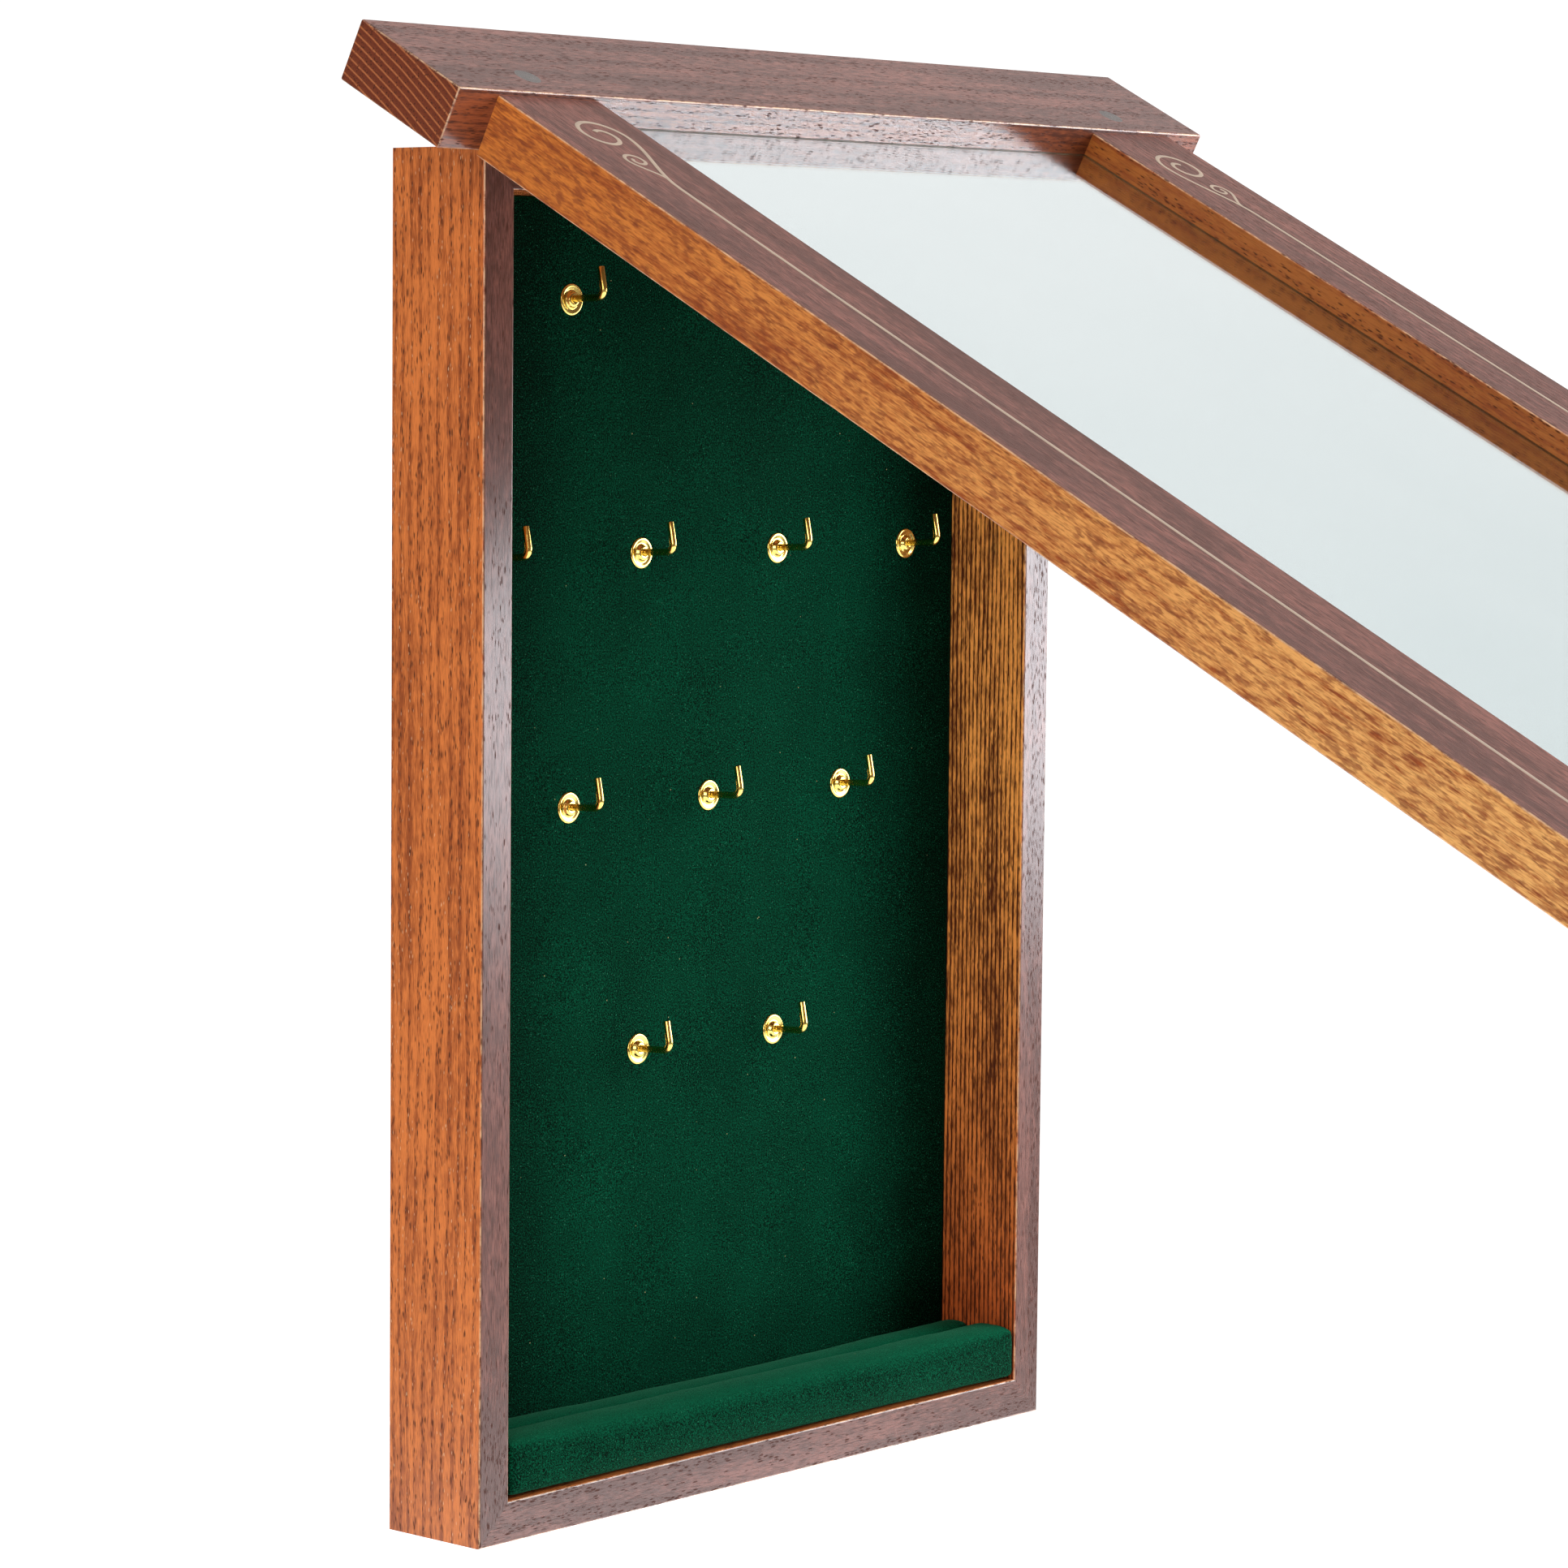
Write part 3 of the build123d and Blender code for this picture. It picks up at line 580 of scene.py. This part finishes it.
def swept(name, radius, rounds, lines):
    """Round rods along lines of points, as one mesh; each line has its thickness and smoothness."""
    curve = bpy.data.curves.new(name, "CURVE")
    curve.dimensions = "3D"
    curve.bevel_depth = radius
    curve.bevel_resolution = rounds
    curve.use_fill_caps = True
    for points, thick, smooth in lines:
        spline = curve.splines.new("NURBS" if smooth else "POLY")
        spline.points.add(len(points) - 1)
        for target, point in zip(spline.points, points):
            target.co = (*point, 1.0)
            target.radius = thick
        if smooth:
            spline.order_u = 3
            spline.use_endpoint_u = True
    source = bpy.data.objects.new(name, curve)
    bpy.context.scene.collection.objects.link(source)
    only(source)
    bpy.ops.object.convert(target="MESH")
    return named(name)


def wire(points, radius, name):
    """A round wire through the points, its ends slightly chamfered."""
    piece = swept(name, radius, 5, [(points, 1.0, False)])
    bpy.ops.object.mode_set(mode="EDIT")
    bpy.ops.mesh.select_all(action="SELECT")
    bpy.ops.mesh.remove_doubles(threshold=0.005 * MM)
    bpy.ops.mesh.normals_make_consistent(inside=False)
    bpy.ops.object.mode_set(mode="OBJECT")
    return soften(piece, radius * 0.3, 2, 50)


def placed_copies(model, matrices, name):
    """Copies of a model, each with its own mesh, joined into one piece."""
    copies = []
    for matrix in matrices:
        copy = model.copy()
        copy.data = model.data.copy()
        bpy.context.scene.collection.objects.link(copy)
        copy.data.transform(matrix)
        copies.append(copy)
    return joined(copies, name)


def screw_head(radius, depth):
    """A countersunk cross-recess head, face up along +Z at the origin."""
    deselect()
    bpy.ops.mesh.primitive_cylinder_add(vertices=32, radius=radius, depth=depth,
                                        location=(0, 0, -depth / 2))
    head = settle(named("screw"))
    soften(head, radius * 0.06, 2)
    slot = (radius * 1.15, radius * 0.26, setting("metal").recess)
    for turn in (0, math.pi / 2):
        cutter = block("cutter", (0, 0, 0), slot, turn)
        only(head)
        cut = head.modifiers.new("Cut", "BOOLEAN")
        cut.operation, cut.object, cut.solver = "DIFFERENCE", cutter, "EXACT"
        bpy.ops.object.modifier_apply(modifier=cut.name)
        bpy.data.objects.remove(cutter)
    bpy.ops.object.shade_smooth_by_angle(angle=math.radians(30))
    return head


def fit_screws(node, name, body, radius, depth, matrices, material):
    """Put a screw head at each place, in the stead of one CAD node."""
    model = screw_head(radius, depth)
    piece = placed_copies(model, matrices, name)
    bpy.data.objects.remove(model)
    finish_piece(piece, body, material, [node])


def collar_centre(hook):
    """x and z of the collar under a hook."""
    low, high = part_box(hook)
    return (low.x + high.x) / 2, low.z + (high.x - low.x) / 2


# ------------------------------------------------------------------ operators
class SHOWCASE_OT_stage(bpy.types.Operator):
    """Set up the floor, the soft lights and the camera"""
    bl_idname = "showcase.stage"
    bl_label = "Stage"

    def execute(self, context):
        s = setting("stage")
        scene = context.scene
        scene.view_settings.view_transform = "Standard"
        self.floor(CAD_BOX[0].z - s.floor_drop)
        self.world(scene)
        self.lights()
        camera = bpy.data.objects.new("camera", bpy.data.cameras.new("camera"))
        scene.collection.objects.link(camera)
        back = -Vector(s.forward).normalized()
        up = back.cross(Vector(s.right)).normalized()
        turn = Matrix((up.cross(back), up, back)).transposed()
        camera.matrix_world = Matrix.Translation(s.place) @ turn.to_4x4()
        camera.data.lens = s.lens
        camera.data.sensor_width = 36.0
        camera.data.clip_end = 60.0
        scene.camera = camera
        return {"FINISHED"}

    def floor(self, height):
        """A pale round floor with a rounded rim."""
        deselect()
        bpy.ops.mesh.primitive_circle_add(vertices=96, radius=2.0, fill_type="NGON",
                                          location=(0, 0, height))
        bpy.ops.object.mode_set(mode="EDIT")
        bpy.ops.mesh.select_all(action="SELECT")
        bpy.ops.mesh.inset(thickness=0.3)
        bpy.ops.object.mode_set(mode="OBJECT")
        floor = settle(named("floor"))
        material, tree = new_material("studio_floor_white")
        where = add(tree, PLACE, {}, out="Object")
        grain = add(tree, NOISE, {"Vector": where, "Scale": per(30)})
        tint = add(tree, MIX, {0: grain, 6: linear("#F4F4F4"), 7: linear("#FFFFFF")}, **BLEND)
        shader = add(tree, SHADER, {"Base Color": tint, "Roughness": 0.9, "Specular IOR Level": 0.1,
                                    "Emission Color": (1.0, 1.0, 1.0), "Emission Strength": 0.45})
        add(tree, SURFACE, {"Surface": shader})
        paint(floor, material)

    def world(self, scene):
        """A white room that is darker behind and to the left, and white in the lens."""
        world = bpy.data.worlds.new("studio")
        scene.world = world
        world.use_nodes = True
        tree = world.node_tree
        tree.nodes.clear()
        where = add(tree, PLACE, {}, out="Generated")
        side = add(tree, VECTOR, {0: where, 1: (0.55, 0.10, 0.83)}, out="Value", operation="DOT_PRODUCT")
        level = add(tree, RANGE, {"Value": side, "From Min": -0.2, "From Max": 0.8,
                                  "To Min": 0.12, "To Max": 0.98}, interpolation_type="SMOOTHSTEP")
        direct = add(tree, "ShaderNodeLightPath", {}, out="Is Camera Ray")
        seen = add(tree, RANGE, {"Value": direct, "To Max": 1.1})
        strength = add(tree, MATH, {0: seen, 1: level}, operation="MAXIMUM")
        sky = add(tree, "ShaderNodeBackground", {"Color": (1.0, 1.0, 1.0), "Strength": strength})
        add(tree, "ShaderNodeOutputWorld", {"Surface": sky})

    def lights(self):
        """Soft boxes: a bright one to the right of the front, one on the left, one overhead."""
        centre = Vector((0, -0.05, 0.0))
        boxes = (("softbox_right", (1.75, -1.30, 0.46), 1.5, 70.0, "#F2F8FF"),
                 ("softbox_left", (-2.3, -0.9, 0.7), 1.4, 31.0, "#FFFAF2"),
                 ("softbox_top", (0.5, -1.0, 2.0), 1.2, 27.0, "#FFFFFF"))
        for name, place, size, watts, tint in boxes:
            light = bpy.data.lights.new(name, "AREA")
            light.shape = "SQUARE"
            light.size = size
            light.energy = watts
            light.color = linear(tint)
            lamp = bpy.data.objects.new(name, light)
            bpy.context.scene.collection.objects.link(lamp)
            aim = (centre - Vector(place)).to_track_quat("-Z", "Y")
            lamp.matrix_world = Matrix.Translation(place) @ aim.to_matrix().to_4x4()


class SHOWCASE_OT_oak(bpy.types.Operator):
    """Stain and lacquer the oak boards of the cabinet and the door"""
    bl_idname = "showcase.oak"
    bl_label = "Oak"

    def execute(self, context):
        s = setting("oak")
        upright = Matrix.Identity(3)
        level = Matrix.Rotation(math.pi / 2, 3, "Y")
        shut = Matrix.Rotation(OPEN_ANGLE, 3, "X")
        amber, russet = s.amber, s.russet
        # A door board's pattern turns about the origin, and the door about its hinge.
        shift = shut @ HINGE_AT - HINGE_AT
        rail_foot = shut_box("door_top_rail")[0].z + shift.z
        raw_y = shut_box("mirror_glass")[0].y + shift.y
        redder_below = (linear("#C8602C"), 0.0, -0.2)
        paler_below = (s.honey, rail_foot - 0.05, rail_foot - 0.42)
        striped = (linear("#F8A650"), linear("#4E220E"))
        rail = {"raw_y": raw_y, "satin": 0.55}
        stile = {"raw_y": raw_y, "satin": 0.8}
        boards = {
            "side_panel_left": oak("oak_side_left", upright, (-0.15, 0.30), 4.6, amber, russet,
                                   contrast=0.5, glint=0.75),
            "side_panel_right": oak("oak_side_right", upright, (0.12, 0.35), 2.1, amber, russet,
                                    contrast=0.95, wander=1.0, fade=redder_below, inner=striped),
            "top_panel": oak("oak_top", level, (0.32, 0.20), 3.6, amber, russet, contrast=0.4, glint=0.3),
            "bottom_panel": oak("oak_bottom", level, (-0.20, 0.06), 4.4, amber, russet, contrast=0.6,
                                glint=0.3),
            "door_stile_left": oak("oak_stile_left", shut, (-0.10, 0.10), 4.0, linear("#C8742E"), russet,
                                   contrast=0.3, holes=0.35, blotch=0.65, fade=paler_below,
                                   **stile),
            "door_stile_right": oak("oak_stile_right", shut, (0.40, -0.10), 2.6, linear("#AE6428"),
                                    russet, contrast=0.5, **stile),
            "door_top_rail": oak("oak_rail_top", level @ shut, (0.170, 0.20), 2.7, linear("#84401F"),
                                 linear("#4E200E"), contrast=0.5, wander=0.3, **rail),
            "door_bottom_rail": oak("oak_rail_bottom", level @ shut, (-0.45, -0.14), 2.8, s.honey,
                                    russet, contrast=0.5, **rail),
        }
        level_bead = oak("oak_bead_level", level @ shut, (0.3, 0.2), 2.2, russet, s.umber_deep)
        upright_bead = oak("oak_bead_upright", shut, (0.3, 0.2), 2.2, russet, s.umber_deep)
        boards.update(bead_top=level_bead, bead_bottom=level_bead, bead_left=upright_bead,
                      bead_right=upright_bead)
        boards["corner_pegs"] = speckled("oak_peg_end_grain", linear("#5C5450"), linear("#332B28"),
                                         0.5, 0.5, relief=0.5)
        for node, material in boards.items():
            paint(NODES[node], material)
        return {"FINISHED"}


class SHOWCASE_OT_backing(bpy.types.Operator):
    """Finish the plywood back, the mirror backing and the felt pads"""
    bl_idname = "showcase.backing"
    bl_label = "Back and backing"

    def execute(self, context):
        ply = speckled("birch_plywood", linear("#D9BC8E"), linear("#B08C5C"), 0.8, 0.7, (1, 1, 0.06))
        board = speckled("oil_tempered_hardboard", linear("#7A5638"), linear("#4A3220"), 0.6, 0.6)
        felt = speckled("wool_felt", linear("#4A4742"), linear("#24221F"), 0.3, 0.95, relief=0.8)
        for node, material in (("back_panel", ply), ("velvet_board", board),
                               ("mirror_backing", board), ("door_pads", felt)):
            paint(NODES[node], material)
        return {"FINISHED"}


class SHOWCASE_OT_lining(bpy.types.Operator):
    """Stretch the velvet over the lining board"""
    bl_idname = "showcase.lining"
    bl_label = "Velvet lining"

    def execute(self, context):
        s = setting("cloth")
        low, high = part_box("velvet_board")
        width, height = high.x - low.x, high.z - low.z
        deselect()
        bpy.ops.mesh.primitive_grid_add(x_subdivisions=118, y_subdivisions=188, size=1,
                                        location=((low.x + high.x) / 2, low.y, (low.z + high.z) / 2),
                                        rotation=(math.pi / 2, 0, 0))
        cloth = named("velvet_lining")
        cloth.scale = (width, height, 1)
        bpy.context.view_layer.update()
        settle(cloth)
        collars = [collar_centre(hook) for hook in HOOKS]
        collar_edge, rolled_edge = 5.0 * MM, 1.6 * MM
        for vertex in cloth.data.vertices:
            p = vertex.co
            rise = s.pile + 0.12 * MM * noise.noise(p * 45) + 0.05 * MM * noise.noise(p * 260)
            for x, z in collars:
                away = math.hypot(p.x - x, p.z - z) - collar_edge
                if away < 3 * s.dimple_reach:
                    rise -= s.dimple * math.exp(-(max(away, 0) / (s.dimple_reach * 0.45)) ** 2)
            inside = min(p.x - low.x, high.x - p.x, p.z - low.z, high.z - p.z)
            if inside < rolled_edge:
                rise *= math.sqrt(max(0.0, 1 - (1 - inside / rolled_edge) ** 2)) * 0.85 + 0.15
            p.y -= rise
        only(cloth)
        thick = cloth.modifiers.new("Solidify", "SOLIDIFY")
        thick.thickness, thick.offset = 0.3 * MM, -1.0
        bpy.ops.object.modifier_apply(modifier=thick.name)
        bpy.ops.object.shade_smooth()
        finish_piece(cloth, "cabinet", velvet("cotton_velvet_lining", 0.03, width / 2))
        return {"FINISHED"}


class SHOWCASE_OT_rolls(bpy.types.Operator):
    """Stuff and cover the two padded rolls on the cabinet's floor"""
    bl_idname = "showcase.rolls"
    bl_label = "Rolls"

    def execute(self, context):
        low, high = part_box("ring_roll_front")
        material = velvet("cotton_velvet_rolls", 0.2, (high.x - low.x) / 2 + 0.05)
        for node in ("ring_roll_front", "ring_roll_back"):
            roll = self.stuffed(node)
            finish_piece(roll, "cabinet", material, [node])
        return {"FINISHED"}

    def stuffed(self, node):
        """A soft bar a little smaller than its space, blown up by its filling."""
        low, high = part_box(node)
        centre = (low + high) / 2
        slack = Vector((0.4, 1.4, 1.4)) * MM
        roll = block(node.replace("ring_roll", "velvet_roll"), centre, high - low - slack)
        weight = roll.data.attributes.new("bevel_weight_edge", "FLOAT", "EDGE")
        for edge in roll.data.edges:
            a, b = (roll.data.vertices[v].co for v in edge.vertices)
            if min(a.z, b.z) > centre.z and abs(a.x - b.x) > 0.1:
                weight.data[edge.index].value = 1.0
        only(roll)
        bevel = roll.modifiers.new("Bevel", "BEVEL")
        bevel.limit_method, bevel.width, bevel.segments = "WEIGHT", 4.5 * MM, 6
        bpy.ops.object.modifier_apply(modifier=bevel.name)
        remesh = roll.modifiers.new("Remesh", "REMESH")
        remesh.mode, remesh.voxel_size = "VOXEL", 2.4 * MM
        bpy.ops.object.modifier_apply(modifier=remesh.name)
        start = [v.co.copy() for v in roll.data.vertices]
        self.inflate(roll)
        furthest, gap = 1.3 * MM, 0.1 * MM
        for vertex, was in zip(roll.data.vertices, start):
            move = vertex.co - was
            if move.length > furthest:
                vertex.co = was + move.normalized() * furthest
            vertex.co.x = min(max(vertex.co.x, low.x + gap), high.x - gap)
            vertex.co.z = max(vertex.co.z, low.z)
        subdivide = roll.modifiers.new("Subdivision", "SUBSURF")
        subdivide.levels = subdivide.render_levels = 1
        only(roll)
        bpy.ops.object.modifier_apply(modifier=subdivide.name)
        outward = [v.normal.copy() for v in roll.data.vertices]
        for vertex, normal in zip(roll.data.vertices, outward):
            lump = 0.35 * MM * noise.noise(vertex.co * 38) + 0.12 * MM * noise.noise(vertex.co * 130)
            vertex.co += normal * lump
        bpy.ops.object.shade_smooth()
        return roll

    def inflate(self, roll):
        """Press the cover out from inside for a short while."""
        scene = bpy.context.scene
        cloth = roll.modifiers.new("Cloth", "CLOTH")
        cloth.settings.use_pressure = True
        cloth.settings.uniform_pressure_force = 4.0
        cloth.settings.effector_weights.gravity = 0.0
        last = 20
        cloth.point_cache.frame_start, cloth.point_cache.frame_end = 1, last
        for number in range(1, last + 1):
            scene.frame_set(number)
        only(roll)
        bpy.ops.object.modifier_apply(modifier=cloth.name)
        scene.frame_set(1)


class SHOWCASE_OT_hooks(bpy.types.Operator):
    """Polish the hooks and fit their stamped collars"""
    bl_idname = "showcase.hooks"
    bl_label = "Hooks"

    def execute(self, context):
        s = setting("metal")
        brass = metal("polished_brass", s.brass, 0.17)
        for hook in HOOKS:
            finish_piece(self.hook(hook), "cabinet", brass, [hook])
        model = self.collar()
        for row, count in enumerate(HOOK_ROWS, 1):
            centres = [collar_centre(f"hook_{row}_{number}") for number in range(1, count + 1)]
            places = [Matrix.Translation((x, 0, z)) for x, z in centres]
            piece = placed_copies(model, places, f"collars_{row}")
            finish_piece(piece, "cabinet", brass, [f"hook_collars_{row}"])
        bpy.data.objects.remove(model)
        return {"FINISHED"}

    def hook(self, node):
        """A bent wire with an even bend and a chamfered tip."""
        s = setting("metal")
        low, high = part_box(node)
        thick = (high.x - low.x) / 2
        x, z = collar_centre(node)
        root = Vector((x, high.y, z))
        corner = Vector((x, low.y + thick - 0.3 * MM, z + 0.9 * MM))
        tip = Vector((x, corner.y + 2.1 * MM, high.z - 0.1 * MM))
        inward, outward = (root - corner).normalized(), (tip - corner).normalized()
        half = inward.angle(outward) / 2
        start = corner + inward * s.bend / math.tan(half)
        middle = corner + (inward + outward).normalized() * s.bend / math.sin(half)
        first = start - middle
        spin = first.cross(inward).normalized()
        sweep = math.pi - 2 * half
        steps = 14
        bend = [middle + Matrix.Rotation(-sweep * i / steps, 3, spin) @ first for i in range(steps + 1)]
        return wire([root, *bend, tip], thick, "brass_" + node)

    def collar(self):
        """A collar spun from its section: rolled rim, dished face, domed boss."""
        low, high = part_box("hook_collars_1")
        face = high.y
        tall = high.y - low.y
        radius = (high.z - low.z) / 2
        # Shares of the collar's radius and height, from the rim inwards.
        section = ((1.0, 0.0), (1.0, 0.22), (0.97, 0.38), (0.90, 0.45), (0.80, 0.42), (0.68, 0.30),
                   (0.58, 0.27), (0.52, 0.40), (0.48, 0.78), (0.41, 0.95), (0.30, 1.0), (0.20, 0.93),
                   (0.18, 0.5))
        mesh = bpy.data.meshes.new("collar")
        points = [(radius * r, face - tall * h, 0) for r, h in section]
        mesh.from_pydata(points, [(i, i + 1) for i in range(len(points) - 1)], [])
        model = bpy.data.objects.new("collar", mesh)
        bpy.context.scene.collection.objects.link(model)
        only(model)
        bpy.ops.object.mode_set(mode="EDIT")
        bpy.ops.mesh.select_all(action="SELECT")
        bpy.ops.mesh.spin(steps=40, angle=2 * math.pi, center=(0, face, 0), axis=(0, 1, 0))
        bpy.ops.mesh.select_all(action="SELECT")
        bpy.ops.mesh.remove_doubles(threshold=0.01 * MM)
        bpy.ops.mesh.select_all(action="DESELECT")
        bpy.ops.mesh.select_mode(type="EDGE")
        bpy.ops.mesh.select_non_manifold()
        bpy.ops.mesh.edge_face_add()
        bpy.ops.mesh.select_all(action="SELECT")
        bpy.ops.mesh.normals_make_consistent(inside=False)
        bpy.ops.object.mode_set(mode="OBJECT")
        bpy.ops.object.shade_smooth_by_angle(angle=math.radians(50))
        return model


class SHOWCASE_OT_hinges(bpy.types.Operator):
    """Finish the butt hinges, their pins and their screws"""
    bl_idname = "showcase.hinges"
    bl_label = "Hinges"

    def execute(self, context):
        s = setting("metal")
        brass = metal("drawn_brass", s.hinge, 0.32, scratch=0.2, drawn=12.0)
        for name, _ in SIDES:
            for node in ("hinge_leaf_cabinet_", "hinge_leaf_door_", "hinge_pin_"):
                paint(NODES[node + name], brass)
        c_low, c_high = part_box("hinge_screws_cabinet")
        d_low, d_high = shut_box("hinge_screws_door")
        cabinet, door = [], []
        for name, _ in SIDES:
            low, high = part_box("hinge_leaf_cabinet_" + name)
            for step in (-1, 0, 1):
                x = (low.x + high.x) / 2 + step * (high.x - low.x) / 3
                cabinet.append(Matrix.Translation((x, (c_low.y + c_high.y) / 2, c_high.z))
                               @ Matrix.Rotation(0.5 + step, 4, "Z"))
                door.append(TO_REST @ Matrix.Translation((x, d_high.y, (d_low.z + d_high.z) / 2))
                            @ FACING_BACK @ Matrix.Rotation(0.9 - step, 4, "Z"))
        radius = (c_high.y - c_low.y) / 2
        for body, matrices in (("cabinet", cabinet), ("door", door)):
            fit_screws("hinge_screws_" + body, "screws_" + body, body, radius, 1.4 * MM, matrices, brass)
        return {"FINISHED"}


class SHOWCASE_OT_hangers(bpy.types.Operator):
    """Finish the keyhole plates on the back and their screws"""
    bl_idname = "showcase.hangers"
    bl_label = "Hangers"

    def execute(self, context):
        steel = metal("zinc_plated_steel", setting("metal").steel, 0.35, scratch=0.15)
        for name, _ in SIDES:
            paint(NODES["hanger_plate_" + name], steel)
        paint(NODES["bead_brads"], steel)
        low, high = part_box("hanger_screws")
        radius = 2.4 * MM
        matrices = []
        for name, _ in SIDES:
            p_low, p_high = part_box("hanger_plate_" + name)
            x = (p_low.x + p_high.x) / 2
            for z in (low.z + radius, high.z - radius):
                matrices.append(Matrix.Translation((x, high.y, z)) @ FACING_BACK
                                @ Matrix.Rotation(z * 40, 4, "Z"))
        fit_screws("hanger_screws", "screws_hanger", "cabinet", radius, 1.2 * MM, matrices, steel)
        return {"FINISHED"}


class SHOWCASE_OT_mirror(bpy.types.Operator):
    """Silver the glass in the door"""
    bl_idname = "showcase.mirror"
    bl_label = "Mirror"

    def execute(self, context):
        s = setting("mirror")
        paint(NODES["mirror_glass"], glass())
        low, high = shut_box("mirror_glass")
        centre = ((low.x + high.x) / 2, high.y - s.coat / 2, (low.z + high.z) / 2)
        coat = block("mirror_silvering", centre, (high.x - low.x - MM, s.coat, high.z - low.z - MM))
        soften(coat, s.coat * 0.3, 1)
        settle(coat, TO_REST)
        finish_piece(coat, "door", silvering())
        return {"FINISHED"}


class SHOWCASE_OT_inlay(bpy.types.Operator):
    """Paint the gold line and its scroll along the stiles"""
    bl_idname = "showcase.inlay"
    bl_label = "Gold line"

    def execute(self, context):
        s = setting("inlay")
        gold = speckled("old_gold_paint", s.gold, tuple(c * 0.72 for c in s.gold), 0.5, 0.6)
        strokes = self.strokes(shut_box("door_top_rail")[0].z, shut_box("door_bottom_rail")[0].z)
        flatten = Matrix.Diagonal((1, 2 * s.height / s.width, 1, 1))
        for name, side in SIDES:
            low, high = shut_box("door_stile_" + name)
            lines = [([(x * side, 0.0, z) for x, z in points], thick, len(points) > 2)
                     for points, thick in strokes]
            piece = swept(f"gold_line_{name}", s.width / 2, 3, lines)
            place = Matrix.Translation(((low.x + high.x) / 2, low.y, 0))
            piece.data.transform(TO_REST @ place @ flatten)
            bpy.ops.object.shade_smooth_by_angle(angle=math.radians(40))
            finish_piece(piece, "door", gold)
        return {"FINISHED"}

    def strokes(self, top, foot):
        """The centre lines of the line and its scroll, as (x, z) points."""
        s = setting("inlay")
        # The curls are drawn 42 units long.
        unit = s.scroll / 42.0
        line_top = top - s.start - s.scroll
        lines = [([(0.0, line_top), (0.0, foot + s.tail)], 1.0)]
        stem, branch = [], []
        for i in range(17):
            t = i / 16
            ease = t * t * (3 - 2 * t)
            stem.append((-8.5 * ease, 29 * t))
            branch.append((5.2 * ease - 0.6, 5 + 10 * t))
        for i in range(1, 41):
            t = i / 40
            r, a = 8.5 - 6.3 * t, math.pi - 8.4 * t
            stem.append((r * math.cos(a), 29 + r * math.sin(a)))
            r, a = 3.6 - 2.6 * t, 7.2 * t
            branch.append((1.0 + r * math.cos(a), 15 + r * math.sin(a)))
        for points, thick in ((stem, 1.0), (branch, 0.8)):
            lines.append(([(x * unit, line_top + z * unit) for x, z in points], thick))
        return lines


class SHOWCASE_PT_panel(bpy.types.Panel):
    """Lists the showcase's operators"""
    bl_idname = "SHOWCASE_PT_panel"
    bl_label = "Showcase"
    bl_space_type = "VIEW_3D"
    bl_region_type = "UI"
    bl_category = "Showcase"

    def draw(self, context):
        for operator in OPERATORS:
            self.layout.operator(operator.bl_idname)


OPERATORS = (SHOWCASE_OT_stage, SHOWCASE_OT_oak, SHOWCASE_OT_backing, SHOWCASE_OT_lining,
             SHOWCASE_OT_rolls, SHOWCASE_OT_hooks, SHOWCASE_OT_hinges, SHOWCASE_OT_hangers,
             SHOWCASE_OT_mirror, SHOWCASE_OT_inlay)
CLASSES = (*SETTINGS.values(), *OPERATORS, SHOWCASE_PT_panel)


def register():
    """Register the classes and their settings."""
    for cls in CLASSES:
        bpy.utils.register_class(cls)
    for name, group in SETTINGS.items():
        setattr(bpy.types.Scene, "showcase_" + name, bpy.props.PointerProperty(type=group))


def unregister():
    """Take the settings and the classes away again."""
    for name in SETTINGS:
        delattr(bpy.types.Scene, "showcase_" + name)
    for cls in reversed(CLASSES):
        bpy.utils.unregister_class(cls)


def main():
    """Build every piece in order."""
    register()
    for operator in OPERATORS:
        group, name = operator.bl_idname.split(".")
        getattr(getattr(bpy.ops, group), name)()


if __name__ == "__main__":
    main()
